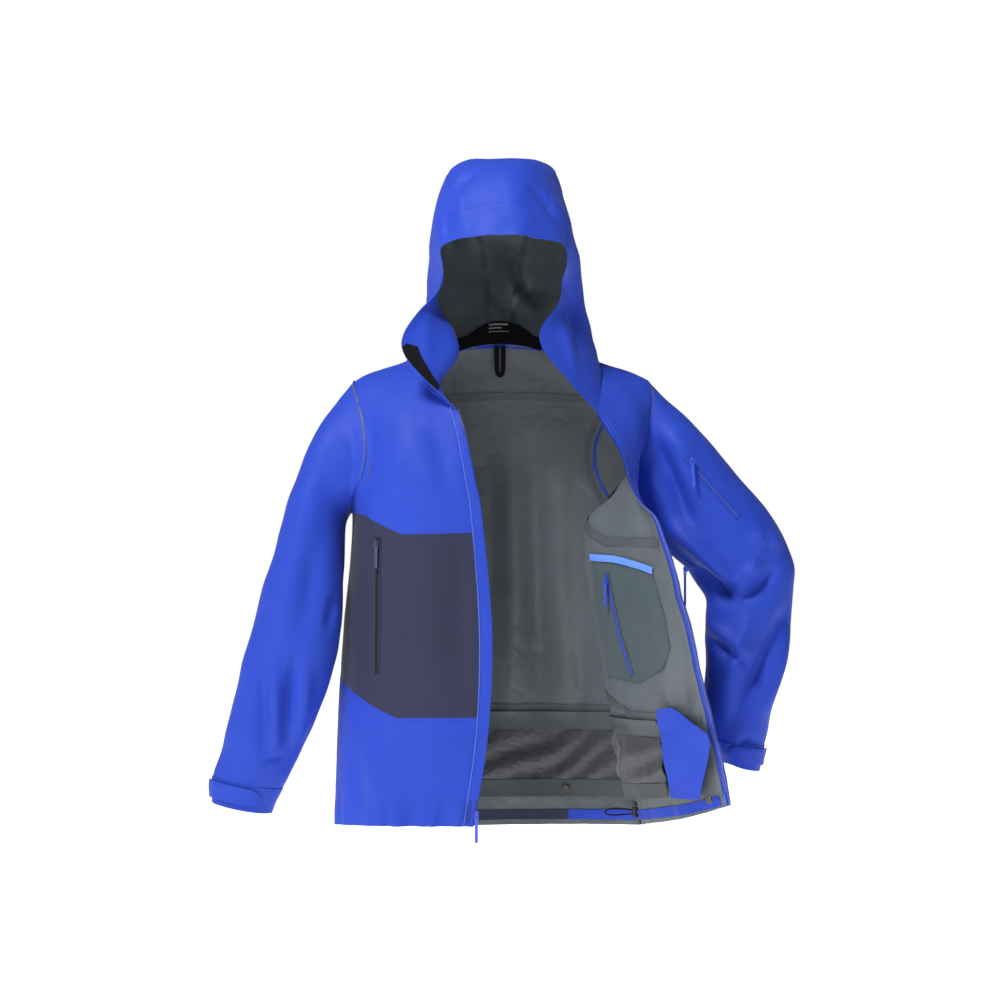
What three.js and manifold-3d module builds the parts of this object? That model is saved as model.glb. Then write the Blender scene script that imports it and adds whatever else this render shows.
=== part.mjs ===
// A hooded hardshell ski jacket, held up by the hanger loop at its back neck, with the
// front zip open and the left front folded back. Millimetres: +X is the wearer's left,
// +Y the back and +Z up. The origin is the top of the hanger loop.
//
// Each fabric piece is cut from a smooth surface, as a pattern piece is cut from cloth:
// its outline is drawn in the surface's own coordinates (u along a row of the net, v
// across the rows) and bent onto it.
import * as THREE from 'three';
import Module from 'manifold-3d';
import { LoftGeometry } from 'three/addons/geometries/LoftGeometry.js';
import { TessellateModifier } from 'three/addons/modifiers/TessellateModifier.js';
import { mergeVertices } from 'three/addons/utils/BufferGeometryUtils.js';

const wasm = await Module();
wasm.setup();

// ---- driving sizes -----------------------------------------------------------------
const backLength = 790;        // centre back, neck seam to hem
const bodyWidth = 500;         // side to side under the arms
const sleeveLength = 600;      // middle of the armhole to the edge of the cuff
const hoodHeight = 295;        // neck seam to the top of the hood
const fabric = 1.6;            // thickness of a shell panel
const gap = 0.4;               // clearance between two layers
const seamGap = 0.5;           // clearance on each side of a seam
const sleeveHeadFit = 0.955;   // sleeve head as a share of the armhole
const placketWidth = 0.2;        // front facing strip, in columns of the body's net

const tapeWidth = 12;          // a pocket zip's tape
const tapeThickness = 1.2;
const slider = { width: 6.6, length: 9, thickness: 1.8, archLength: 6.6, archWidth: 2.2 };
const pin = { size: 1.1, clearance: 0.45 };   // the bar that a pull hangs from
const pull = { headWidth: 7.4, width: 5, thickness: 1.1, window: 6.5 };
const loopWidth = 15;          // hanger loop
const loopLength = 52;
const strapWidth = 4.5;
const snap = { radius: 6, thickness: 2.4 };
const cordDiameter = 2.6;
const lock = { radius: 6, length: 15, button: 3.4, travel: 2.5 };

// The same shapes serve other sizes: each is drawn once for this base garment and graded.
const base = { backLength: 790, bodyWidth: 500, sleeveLength: 600, hoodHeight: 295 };
const wide = bodyWidth / base.bodyWidth;
const long = backLength / base.backLength;
const reach = sleeveLength / base.sleeveLength;
const tall = hoodHeight / base.hoodHeight;

const colours = {
  blue: '#3b5be0', navy: '#33384f', lining: '#4f5559', pocketLining: '#47544f',
  binding: '#5f87f5', black: '#17181b', zipBlue: '#2d49c4', darkZip: '#11162c',
  metal: '#a08f6d', taffeta: '#3a3f44',
};

// ---- surfaces ----------------------------------------------------------------------
// A smooth surface through a net of points; its rows may be closed rings.
class Cloth {
  constructor(rows, closed = false) {
    this.columns = closed ? rows[0].length : rows[0].length - 1;
    this.lines = rows.length - 1;
    this.rows = rows.map((row) => new THREE.CatmullRomCurve3(row, closed, 'catmullrom', 0.5));
    this.closed = closed;
  }

  point(u, v) {
    const across = this.rows.map((row) => row.getPoint(u / this.columns));
    return new THREE.CatmullRomCurve3(across, false, 'catmullrom', 0.5).getPoint(v / this.lines);
  }

  // The unit normal that points out of the garment.
  normal(u, v) {
    const step = 0.02;
    const low = this.closed ? u - step : Math.max(0, u - step);
    const high = this.closed ? u + step : Math.min(this.columns, u + step);
    const wrap = (value) => (this.closed ? (value + this.columns) % this.columns : value);
    const alongU = this.point(wrap(high), v).sub(this.point(wrap(low), v));
    const top = Math.max(0, v - step);
    const bottom = Math.min(this.lines, v + step);
    const alongV = this.point(wrap(u), bottom).sub(this.point(wrap(u), top));
    return alongU.cross(alongV).normalize();
  }

  lift(u, v, height) {
    const turned = this.closed ? (u + this.columns) % this.columns : u;
    return this.point(turned, v).addScaledVector(this.normal(turned, v), height);
  }
}

// ---- body --------------------------------------------------------------------------
// The right front's zip edge is an arc in an upright plane, so that the slider can
// follow it round the arc's centre.
const frontPlane = -230 * wide;
const zipArc = { radius: 1320 * long, x: -12 * wide, z: -488 * long };
const zipEdge = (z) => zipArc.x - zipArc.radius + Math.sqrt(zipArc.radius ** 2 - (z - zipArc.z) ** 2);
const onZipEdge = (z) => new THREE.Vector3(zipEdge(z * long), frontPlane, z * long);
const body = (x, y, z) => new THREE.Vector3(x * wide, y * wide, z * long);

// Columns: 0 right zip edge, 3 right side, 5 centre back, 7 left side, 8 the fold where
// the left front turns back, 10 left zip edge. Rows: neck seam to hem.
const SIDE = { right: 3, left: 7 };
const bodyCloth = new Cloth([
  [body(-69, -185, -114), body(-115, -150, -80), body(-140, -115, -50), body(-150, -70, -30),
    body(-85, -10, -8), body(0, 8, 0), body(85, -10, -8), body(150, -70, -30),
    body(160, -115, -55), body(160, -150, -85), body(155, -180, -116)],
  [body(-53, -205, -161), body(-120, -190, -130), body(-190, -150, -105), body(-245, -80, -75),
    body(-170, 5, -70), body(0, 18, -60), body(150, 5, -65), body(245, -80, -72),
    body(225, -140, -110), body(205, -180, -150), body(188, -215, -178)],
  [onZipEdge(-235), body(-115, -230, -215), body(-205, -185, -200), body(-258, -100, -190),
    body(-185, 10, -180), body(0, 28, -170), body(135, 15, -175), body(240, -60, -185),
    body(215, -130, -205), body(220, -190, -230), body(219, -245, -253)],
  [onZipEdge(-285), body(-110, -230, -285), body(-207, -195, -285), body(-236, -85, -285),
    body(-180, 5, -285), body(0, 18, -285), body(125, 8, -288), body(195, -50, -290),
    body(140, -110, -295), body(198, -185, -300), body(252, -265, -303)],
  [onZipEdge(-455), body(-110, -230, -455), body(-207, -195, -455), body(-250, -88, -455),
    body(-178, 2, -455), body(0, 15, -455), body(120, 10, -455), body(192, -45, -455),
    body(150, -105, -455), body(225, -205, -452), body(292, -290, -449)],
  [onZipEdge(-615), body(-110, -230, -615), body(-207, -195, -618), body(-260, -95, -620),
    body(-175, 0, -625), body(0, 15, -625), body(125, 8, -625), body(212, -45, -622),
    body(187, -110, -620), body(258, -215, -618), body(333, -290, -614)],
  [onZipEdge(-762), body(-120, -230, -762), body(-207, -200, -765), body(-265, -100, -775),
    body(-175, -10, -790), body(0, 12, -790), body(125, 5, -788), body(225, -50, -782),
    body(236, -118, -771), body(290, -215, -750), body(355, -280, -722)],
]);
const HEM = 6;
const NECK = 0.05;              // the body panels start this far below the neck seam
const armhole = { v: 1.9, width: 0.85, height: 1 };   // half sizes, in columns and rows

// ---- hood --------------------------------------------------------------------------
// Columns: 0 right neck, 1 top of the right zip edge, 5 crown, 9 top of the left zip
// edge, 10 left neck. Rows: face edge to nape. Its seam edge follows the body's neck.
const neck = (u) => bodyCloth.point(u, 0);
const hood = (x, y, z) => new THREE.Vector3(x * wide, y * wide, z * tall);
const nape = [3.7, 4.0, 4.25, 4.5, 4.75, 5, 5.25, 5.5, 5.75, 6.0, 6.3];
const hoodCloth = new Cloth([
  [neck(0), hood(-155, -190, -14), hood(-95, -150, 86), hood(-94, -190, 142),
    hood(-37, -230, 156), hood(11, -238, 157), hood(53, -230, 153), hood(103, -190, 140),
    hood(98, -150, 68), hood(64, -190, -10), neck(10)],
  [neck(1), hood(-65, -150, -17), hood(-108, -90, 80), hood(-104, -150, 190),
    hood(-55, -165, 250), hood(8, -175, 262), hood(62, -165, 250), hood(108, -150, 190),
    hood(131, -90, 84), hood(120, -150, -5), neck(9)],
  [neck(1.9), hood(-125, -85, 0), hood(-118, -50, 80), hood(-101, -80, 214),
    hood(-72, -80, 283), hood(6, -85, 294), hood(80, -80, 283), hood(106, -80, 210),
    hood(135, -50, 84), hood(150, -85, 0), neck(8.1)],
  [neck(2.7), hood(-115, -25, 20), hood(-105, 0, 90), hood(-90, 10, 185),
    hood(-55, 15, 250), hood(5, 20, 265), hood(65, 15, 250), hood(97, 10, 185),
    hood(115, 0, 90), hood(125, -25, 20), neck(7.3)],
  [neck(3.3), hood(-95, -8, 15), hood(-72, 25, 60), hood(-50, 48, 120),
    hood(-30, 58, 155), hood(4, 60, 165), hood(38, 58, 155), hood(58, 48, 120),
    hood(80, 25, 60), hood(102, -8, 15), neck(6.7)],
  nape.map(neck),
]);

// ---- sleeves -----------------------------------------------------------------------
// A sleeve's rows are rings: the armhole first, then sections that are given by their
// outer and inner edge (x, z), how far forward they sit, and their half depth.
const RING = 12;
const rightDrape = {
  side: SIDE.right, front: -1, from: [-257, -98, -178],
  sections: [
    { outer: [-299, -144], inner: [-245, -298], y: -112, depth: 60 },
    { outer: [-333, -239], inner: [-246, -345], y: -128, depth: 56 },
    { outer: [-363, -345], inner: [-246, -394], y: -145, depth: 56 },
    { outer: [-396, -455], inner: [-252, -494], y: -152, depth: 58 },
    { outer: [-422, -555], inner: [-284, -592], y: -154, depth: 56 },
    { outer: [-443, -645], inner: [-324, -678], y: -152, depth: 50 },
    { outer: [-456, -698], inner: [-345, -718], y: -150, depth: 44 },
    { outer: [-456, -733], inner: [-359, -751], y: -150, depth: 42 },
  ],
};
const leftDrape = {
  side: SIDE.left, front: 1, from: [241, -62, -176],
  sections: [
    { outer: [312, -133], inner: [230, -288], y: -100, depth: 60 },
    { outer: [378, -207], inner: [262, -333], y: -115, depth: 62 },
    { outer: [430, -272], inner: [298, -368], y: -125, depth: 60 },
    { outer: [468, -345], inner: [324, -406], y: -130, depth: 58 },
    { outer: [471, -394], inner: [326, -440], y: -132, depth: 56 },
    { outer: [462, -458], inner: [325, -482], y: -135, depth: 56 },
    { outer: [447, -528], inner: [322, -545], y: -138, depth: 54 },
    { outer: [431, -604], inner: [322, -600], y: -140, depth: 50 },
    { outer: [420, -650], inner: [336, -640], y: -140, depth: 46 },
    { outer: [412, -684], inner: [352, -672], y: -140, depth: 44 },
  ],
};

// Ring angle 0 is the back on the right arm and the front on the left, a quarter turn
// on is the body side, and three quarters the outer side.
function sleeveCloth({ side, front, from, sections }) {
  const middle = bodyCloth.point(side, armhole.v);
  const turn = (k) => (k / RING) * 2 * Math.PI;
  const ring = [...Array(RING).keys()];
  const head = ring.map((k) => bodyCloth.point(
    side + armhole.width * sleeveHeadFit * Math.cos(turn(k)),
    armhole.v + armhole.height * sleeveHeadFit * Math.sin(turn(k)),
  ));
  const grade = new THREE.Vector3(wide * reach, wide, reach);
  const graded = ([x, z], y) => new THREE.Vector3(x - from[0], y - from[1], z - from[2])
    .multiply(grade).add(middle);
  const rings = sections.map(({ outer, inner, y, depth }) => {
    const far = graded(outer, y);
    const near = graded(inner, y);
    const centre = far.clone().add(near).multiplyScalar(0.5);
    const across = near.clone().sub(centre);
    const deep = new THREE.Vector3(0, -front * depth * wide, 0);
    return ring.map((k) => centre.clone()
      .addScaledVector(deep, Math.cos(turn(k)))
      .addScaledVector(across, Math.sin(turn(k))));
  });
  return new Cloth([head, ...rings], true);
}
const rightSleeve = sleeveCloth(rightDrape);
const leftSleeve = sleeveCloth(leftDrape);

// ---- making pieces -----------------------------------------------------------------
const jacket = new THREE.Group();

function add(name, geometry, colour, roughness = 0.75, metalness = 0, joint = null) {
  const material = new THREE.MeshStandardMaterial({ color: colour, roughness, metalness });
  const mesh = new THREE.Mesh(geometry, material);
  mesh.name = name;
  if (joint) mesh.userData.joint = joint;
  jacket.add(mesh);
  return mesh;
}

// The height range of a layer: 0 is the shell, 1 the next one outside it, -1 inside it.
function layer(number) {
  const middle = number * (fabric + gap);
  return [middle - fabric / 2, middle + fabric / 2];
}

// Moves each corner of a closed outline inwards, so that its sides move by the margin.
function inset(outline, margin) {
  const points = THREE.ShapeUtils.isClockWise(outline) ? [...outline].reverse() : outline;
  return points.map((here, i) => {
    const before = here.clone().sub(points.at(i - 1)).normalize();
    const after = points[(i + 1) % points.length].clone().sub(here).normalize();
    const sum = new THREE.Vector2(-before.y - after.y, before.x + after.x);
    return here.clone().addScaledVector(sum, margin / (1 + before.dot(after)));
  });
}

// Half an armhole as outline points, from its top to its bottom or back up.
function armholeSide(side, towards, reversed = false) {
  const steps = 8;
  const points = [...Array(steps + 1).keys()].map((i) => {
    const angle = -Math.PI / 2 + (i / steps) * Math.PI;
    return [side + towards * armhole.width * Math.cos(angle),
      armhole.v + armhole.height * Math.sin(angle)];
  });
  return reversed ? points.reverse() : points;
}

// Millimetres given to one net cell: an outline's facets are even in this measure.
const bodyCell = new THREE.Vector2(90, 90);
const hoodCell = new THREE.Vector2(80, 60);

// A panel cut from a surface: outline in (u, v), between two heights above it.
function cut(cloth, cell, outline, [low, high], facet = 48, margin = seamGap) {
  const drawn = outline.map(([u, v]) => new THREE.Vector2(u, v).multiply(cell));
  const shape = new THREE.Shape(inset(drawn, margin));
  const flat = new THREE.ExtrudeGeometry(shape, { depth: 1, bevelEnabled: false });
  const geometry = new TessellateModifier(facet, 40).modify(flat);
  const place = geometry.getAttribute('position');
  for (let i = 0; i < place.count; i += 1) {
    const across = place.getX(i) / cell.x;
    const u = cloth.closed ? across : THREE.MathUtils.clamp(across, 0, cloth.columns);
    const v = THREE.MathUtils.clamp(place.getY(i) / cell.y, 0, cloth.lines);
    const share = place.getZ(i);
    const bottom = typeof low === 'function' ? low(u, v) : low;
    const top = typeof high === 'function' ? high(u, v) : high;
    place.setXYZ(i, ...cloth.lift(u, v, bottom + (top - bottom) * share).toArray());
  }
  return geometry;
}

// A narrow strip of a surface, as a row of blocks: `edges` gives its two edge places at
// each share of its length.
function ribbon(cloth, edges, [low, high], steps) {
  const sections = [...Array(steps + 1).keys()].map((i) => {
    const [left, right] = edges(i / steps);
    return [cloth.lift(...left, low), cloth.lift(...left, high), cloth.lift(...right, high),
      cloth.lift(...right, low)];
  });
  return new LoftGeometry(sections, { capStart: true, capEnd: true });
}

// A tube of cloth between two rows of a surface with closed rows, open at both ends.
function tube(cloth, from, to, low, high, steps, around = 18) {
  const ringAt = (i, height) => {
    const v = from + ((to - from) * i) / steps;
    return [...Array(around).keys()].map((k) => cloth.lift((k * cloth.columns) / around, v, height));
  };
  const outside = [...Array(steps + 1).keys()].map((i) => ringAt(i, high));
  const inside = [...Array(steps + 1).keys()].map((i) => ringAt(i, low)).reverse();
  return new LoftGeometry([...outside, ...inside, outside[0]]);
}

// A flat plate in a frame's plane, from one height to another above it.
function plate(frame, outline, low, high) {
  const shape = new THREE.Shape(outline.map(([x, y]) => new THREE.Vector2(x, y)));
  const geometry = new THREE.ExtrudeGeometry(shape, { depth: high - low, bevelEnabled: false });
  return geometry.translate(0, 0, low).applyMatrix4(frame.matrix);
}

function frameOf(origin, across, up, out) {
  const matrix = new THREE.Matrix4().makeBasis(across, up, out).setPosition(origin);
  return { origin, across, up, out, matrix };
}

// The most that a surface rises along `out` above a point, over a patch of it.
function rise(cloth, from, to, half, start, out) {
  let highest = 0;
  for (let i = 0; i <= 16; i += 1) {
    for (let j = -4; j <= 4; j += 1) {
      const u = THREE.MathUtils.lerp(from[0], to[0], i / 16) + (half * j) / 4;
      const v = THREE.MathUtils.lerp(from[1], to[1], i / 16);
      highest = Math.max(highest, cloth.point(u, v).sub(start).dot(out));
    }
  }
  return highest;
}

// A frame for a straight zip from one place on a surface to another, just clear of it.
function trackFrame(cloth, from, to, half, extra = 0) {
  const top = cloth.point(...from);
  const bottom = cloth.point(...to);
  const up = top.clone().sub(bottom).normalize();
  const out = cloth.normal((from[0] + to[0]) / 2, (from[1] + to[1]) / 2);
  out.addScaledVector(up, -out.dot(up)).normalize();
  const across = up.clone().cross(out);
  const middle = top.clone().add(bottom).multiplyScalar(0.5);
  const clear = rise(cloth, from, to, half, middle, out) + fabric / 2 + gap + extra;
  const frame = frameOf(middle.addScaledVector(out, clear), across, up, out);
  frame.length = top.distanceTo(bottom);
  return frame;
}

// A frame for a flat piece inside the body, over a patch of it, just clear of the shell.
function innerFrame(from, to, clearance) {
  const corner = (u, v) => bodyCloth.point(u, v);
  const across = corner(to[0], from[1]).add(corner(to[0], to[1]))
    .sub(corner(from[0], from[1])).sub(corner(from[0], to[1])).normalize();
  const up = corner(from[0], from[1]).add(corner(to[0], from[1]))
    .sub(corner(from[0], to[1])).sub(corner(to[0], to[1])).normalize();
  const out = across.clone().cross(up).normalize();
  up.crossVectors(out, across);
  const middle = corner((from[0] + to[0]) / 2, (from[1] + to[1]) / 2);
  const half = (to[0] - from[0]) / 2;
  const centre = (from[0] + to[0]) / 2;
  const clear = rise(bodyCloth, [centre, from[1]], [centre, to[1]], half, middle, out);
  return frameOf(middle.addScaledVector(out, clear + clearance), across, up, out);
}

// ---- booleans ----------------------------------------------------------------------
function toSolid(geometry) {
  const plain = geometry.clone();
  plain.deleteAttribute('normal');
  plain.deleteAttribute('uv');
  const merged = mergeVertices(plain, 1e-4);
  return new wasm.Manifold(new wasm.Mesh({
    numProp: 3,
    vertProperties: new Float32Array(merged.getAttribute('position').array),
    triVerts: new Uint32Array(merged.index.array),
  }));
}

function join(...geometries) {
  const solid = geometries.map(toSolid).reduce((sum, next) => sum.add(next));
  const { vertProperties, triVerts } = solid.getMesh();
  const geometry = new THREE.BufferGeometry();
  geometry.setAttribute('position', new THREE.BufferAttribute(vertProperties, 3));
  geometry.setIndex(new THREE.BufferAttribute(triVerts, 1));
  return geometry;
}

// ---- zip hardware ------------------------------------------------------------------
// An outline with straight sides and a half-round end below.
function tongue(width, top, bottom) {
  const half = width / 2;
  const turns = [...Array(7).keys()].map((i) => {
    const angle = Math.PI + (i / 6) * Math.PI;
    return [half * Math.cos(angle), bottom + half + half * Math.sin(angle)];
  });
  return [[half, top], [-half, top], ...turns];
}

// The slider's arch, upright in the frame's (up, out) plane, with a hole for the pull.
function arch(frame, foot) {
  const hole = pin.size / 2 + pin.clearance;
  const half = slider.archLength / 2;
  const wall = 1;
  const top = foot + 2 * hole + wall;
  const shape = new THREE.Shape([[-half, foot - 0.4], [half, foot - 0.4], [half, top], [-half, top]]
    .map(([x, y]) => new THREE.Vector2(x, y)));
  shape.holes.push(new THREE.Path([[-half + wall, foot + 0.05], [-half + wall, top - wall],
    [half - wall, top - wall], [half - wall, foot + 0.05]].map(([x, y]) => new THREE.Vector2(x, y))));
  const flat = new THREE.ExtrudeGeometry(shape, { depth: slider.archWidth, bevelEnabled: false });
  const turned = new THREE.Matrix4().makeBasis(frame.up, frame.out, frame.across);
  return flat.translate(0, 0, -slider.archWidth / 2)
    .applyMatrix4(turned.setPosition(frame.origin));
}

// A slider at `at` along the tape, and the pull that hangs from its arch. The slider is
// in line with the tape; the pull and the arch turn in the tape's plane to hang straight.
function runner(name, frame, at, sliderJoint, pullLength, colour, metalness = 0) {
  const low = tapeThickness + gap;
  const high = low + slider.thickness;
  const seat = frame.origin.clone().addScaledVector(frame.up, at);
  const seated = frameOf(seat, frame.across, frame.up, frame.out);
  const halfWidth = slider.width / 2;
  const halfLength = slider.length / 2;
  const block = plate(seated, [[-halfWidth * 0.7, -halfLength], [halfWidth * 0.7, -halfLength],
    [halfWidth, halfLength], [-halfWidth, halfLength]], low, high);

  const upright = new THREE.Vector3(0, 0, 1).addScaledVector(frame.out, -frame.out.z).normalize();
  const axis = upright.clone().cross(frame.out);
  const hangs = frameOf(seat.clone(), axis, upright, frame.out);
  add(`${name}_slider`, join(block, arch(hangs, high)), colour, 0.4, metalness, sliderJoint(seated));

  // A surface that leans back is what its pull lies on; under an overhang it hangs free.
  const free = frame.out.z < 0;
  const pivot = seat.clone().addScaledVector(frame.out, high + pin.size / 2 + pin.clearance);
  const hung = free ? new THREE.Vector3(0, 0, 1) : upright;
  const held = frameOf(pivot, axis, hung, axis.clone().cross(hung));
  const head = pull.headWidth / 2;
  const bar = pin.size / 2;
  const bottom = bar - pullLength;
  const side = (pull.headWidth - slider.archWidth - 2 * (pull.headWidth * 0.16)) / 2;
  const shoulder = bar - pull.window - 3;
  const shape = new THREE.Shape([[head, bar], [-head, bar], [-head, shoulder + 2],
    ...tongue(pull.width, shoulder, bottom).slice(1), [pull.width / 2, shoulder],
    [head, shoulder + 2]].map(([x, y]) => new THREE.Vector2(x, y)));
  shape.holes.push(new THREE.Path([[-side, -bar], [side, -bar], [side, bar - pull.window],
    [-side, bar - pull.window]].map(([x, y]) => new THREE.Vector2(x, y))));
  const flat = new THREE.ExtrudeGeometry(shape, { depth: pull.thickness, bevelEnabled: false });
  const lean = free ? Math.asin(-frame.out.z) : 0;
  add(`${name}_pull`, flat.translate(0, 0, -pull.thickness / 2).applyMatrix4(held.matrix), colour,
    0.5, 0, { pivot: pivot.toArray(), axis: axis.clone().negate().toArray(), lean });
}

// A whole straight zip: its tape, slider and pull. The slider is at `closed` of its way up.
function zip(name, frame, { pullLength = 40, closed = 1, colour, tapeColour = colour }) {
  const half = tapeWidth / 2;
  const end = frame.length / 2;
  add(`${name}_zip`, plate(frame, [[-half, -end], [half, -end], [half, end], [-half, end]],
    0, tapeThickness), tapeColour, 0.8);
  const stop = end - slider.length;
  const at = -stop + 2 * stop * closed;
  const away = closed > 0.5 ? -1 : 1;
  const travel = (seated) => ({
    axis: seated.up.clone().multiplyScalar(away).toArray(), range: [0, 2 * stop],
  });
  runner(name, frame, at, travel, pullLength, colour);
}

// ---- shell panels ------------------------------------------------------------------
// A front has a facing strip along the zip, and a yoke, a pocket panel and a skirt beside
// it. Each is drawn for the right and mirrored across the centre back for the left.
const SPAN = bodyCloth.columns;
const frontShapes = {
  front_yoke: [[placketWidth, NECK], [SIDE.right, NECK], ...armholeSide(SIDE.right, -1),
    [2.1, 2.95], [1.41, 3.17], [placketWidth, 3.16]],
  pocket_panel: [[placketWidth, 3.16], [1.41, 3.17], [2.1, 2.95], [SIDE.right, 2.9],
    [SIDE.right, 4.4], [2.85, 4.47], [1.5, 4.86], [placketWidth, 4.86]],
  front_skirt: [[placketWidth, 4.86], [1.5, 4.86], [2.85, 4.47], [SIDE.right, 4.4],
    [SIDE.right, HEM], [placketWidth, HEM]],
};
for (const [name, outline] of Object.entries(frontShapes)) {
  const colour = name === 'pocket_panel' ? colours.navy : colours.blue;
  add(`right_${name}`, cut(bodyCloth, bodyCell, outline, layer(0)), colour);
  const mirrored = outline.map(([u, v]) => [SPAN - u, v]);
  add(`left_${name}`, cut(bodyCloth, bodyCell, mirrored, layer(0)), colour);
}

const placketEdge = 0.05 / wide;         // bare tape outside the facing strip
const beside = seamGap / bodyCell.x;
const downFront = (near, far) => (share) => {
  const v = THREE.MathUtils.lerp(NECK, HEM - beside, share);
  return [[near, v], [far, v]];
};
const acrossBack = (edges) => (share) => edges(share).map(([u, v]) => [SPAN - u, v]).reverse();
const placket = downFront(placketEdge, placketWidth - beside);
add('right_front_placket', ribbon(bodyCloth, placket, layer(0), 24), colours.blue);
add('left_front_placket', ribbon(bodyCloth, acrossBack(placket), layer(0), 24), colours.blue);

const yokeSeam = 1.25;                 // row of the seam across the back
const hemPanel = { from: 4.1, to: 5.9, top: 5.15 };
const aboveYoke = ([, v]) => v < yokeSeam;
const belowYoke = ([, v]) => v > yokeSeam;
const armholeAtYoke = Math.acos((yokeSeam - armhole.v) / -armhole.height);
const yokeEnd = armhole.width * Math.sin(armholeAtYoke);
add('back_yoke', cut(bodyCloth, bodyCell, [
  [SIDE.right, NECK], [SIDE.left, NECK], ...armholeSide(SIDE.left, -1).filter(aboveYoke),
  [SIDE.left - yokeEnd, yokeSeam], [SIDE.right + yokeEnd, yokeSeam],
  ...armholeSide(SIDE.right, 1, true).filter(aboveYoke),
], layer(0)), colours.blue);
add('back_panel', cut(bodyCloth, bodyCell, [
  [SIDE.right + yokeEnd, yokeSeam], [SIDE.left - yokeEnd, yokeSeam],
  ...armholeSide(SIDE.left, -1).filter(belowYoke), [SIDE.left, HEM],
  [hemPanel.to, HEM], [hemPanel.to - 0.1, hemPanel.top],
  [hemPanel.from + 0.1, hemPanel.top], [hemPanel.from, HEM], [SIDE.right, HEM],
  ...armholeSide(SIDE.right, 1, true).filter(belowYoke),
], layer(0)), colours.blue);
add('back_hem_panel', cut(bodyCloth, bodyCell, [
  [hemPanel.from, HEM], [hemPanel.from + 0.1, hemPanel.top],
  [hemPanel.to - 0.1, hemPanel.top], [hemPanel.to, HEM],
], layer(0)), colours.navy);

// ---- hood panels -------------------------------------------------------------------
const crown = [[3.6, 0.5], [6.4, 0.5], [6.2, 3], [5.7, 4.98], [4.3, 4.98], [3.8, 3]];
add('hood_crown', cut(hoodCloth, hoodCell, crown, layer(0)), colours.blue);
add('hood_brim', cut(hoodCloth, hoodCell, [[2.7, 0], [7.3, 0], [7.2, 0.5], [2.8, 0.5]], layer(0)),
  colours.blue);
const hoodSide = [[0.05, 0], [2.7, 0], [2.8, 0.5], [3.6, 0.5], [3.8, 3], [4.3, 4.98], [0.05, 4.98]];
add('hood_right_side', cut(hoodCloth, hoodCell, hoodSide, layer(0)), colours.blue);
add('hood_left_side', cut(hoodCloth, hoodCell, hoodSide.map(([u, v]) => [10 - u, v]), layer(0)),
  colours.blue);
add('chin_guard', cut(hoodCloth, hoodCell,
  [[0.42, 0.03], [0.98, 0.03], [0.98, 0.22], [0.42, 0.42]], layer(-2.2)), colours.black);
const patch = { from: 1.9, to: 8.1, bottom: 4.975, ends: 0.04, rise: 0.24 };
const patchEdges = (share) => {
  const u = THREE.MathUtils.lerp(patch.from, patch.to, share);
  return [[u, patch.bottom], [u, patch.bottom - patch.ends - patch.rise * Math.sin(Math.PI * share)]];
};
add('neck_patch', ribbon(hoodCloth, patchEdges, layer(-1.6), 20), colours.black);

// ---- sleeves, cuffs and cuff tabs --------------------------------------------------
const cuffGap = 0.03;          // rows between a sleeve's end and its cuff
const tabStand = 2.8;          // cuff to tab
function dressArm(side, cloth, cuffFrom, steps, tab) {
  add(`${side}_sleeve`, tube(cloth, 0, cuffFrom, ...layer(0), steps), colours.blue);
  add(`${side}_cuff`, tube(cloth, cuffFrom + cuffGap, cloth.lines, -fabric / 2,
    fabric / 2 + gap, 3), colours.blue);
  const height = fabric / 2 + tabStand;
  const cell = new THREE.Vector2(26, 45);
  const geometry = cut(cloth, cell, tab.outline, [height, height + fabric], 24, 0);
  const root = cloth.lift(tab.root, (tab.outline[0][1] + tab.outline.at(-1)[1]) / 2, height);
  const far = cloth.lift(tab.root, cloth.lines, height);
  const near = cloth.lift(tab.root, cloth.lines - 1, height);
  add(`${side}_cuff_tab`, geometry, colours.blue, 0.75, 0,
    { pivot: root.toArray(), axis: far.sub(near).normalize().toArray() });
}
// A tab runs from the outer side (root) round the front of the cuff to its rounded end.
dressArm('right', rightSleeve, 6.85, 14, {
  root: 9,
  outline: [[9, 6.95], [9, 7.7], [5.6, 7.7], [5.1, 7.6], [4.9, 7.35], [5.2, 7.1], [5.6, 6.95]],
});
dressArm('left', leftSleeve, 8.85, 18, {
  root: -3,
  outline: [[-3, 8.95], [-3, 9.7], [0.5, 9.7], [0.9, 9.6], [1.1, 9.35], [0.8, 9.1], [0.5, 8.95]],
});

// ---- straight zips -----------------------------------------------------------------
zip('right_pocket', trackFrame(bodyCloth, [1.78, 3.2], [1.82, 4.43], 0.09), {
  colour: colours.darkZip, closed: 1,
});
zip('left_pocket', trackFrame(bodyCloth, [SPAN - 1.78, 3.2], [SPAN - 1.82, 4.43], 0.12, 5), {
  colour: colours.darkZip, closed: 1,
});
zip('sleeve_pocket', trackFrame(leftSleeve, [11.25, 1.15], [11.2, 2.65], 0.25), {
  colour: colours.zipBlue, pullLength: 46,
});
zip('right_pit', trackFrame(rightSleeve, [1.6, 1.3], [1.6, 3.4], 0.25, 0.4), {
  colour: colours.zipBlue, pullLength: 40, closed: 0,
});
zip('left_pit', trackFrame(leftSleeve, [2.3, 0.9], [2.3, 3.1], 0.25, 0.4), {
  colour: colours.zipBlue, pullLength: 60, closed: 0,
});

// ---- main zip ----------------------------------------------------------------------
const tapeEdge = 0.14;         // tape width, in columns
const tape = downFront(0, tapeEdge);
add('right_zip_tape', ribbon(bodyCloth, tape, layer(-1), 24), colours.zipBlue);
add('left_zip_tape', ribbon(bodyCloth, acrossBack(tape), layer(-1), 24), colours.zipBlue);

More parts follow.
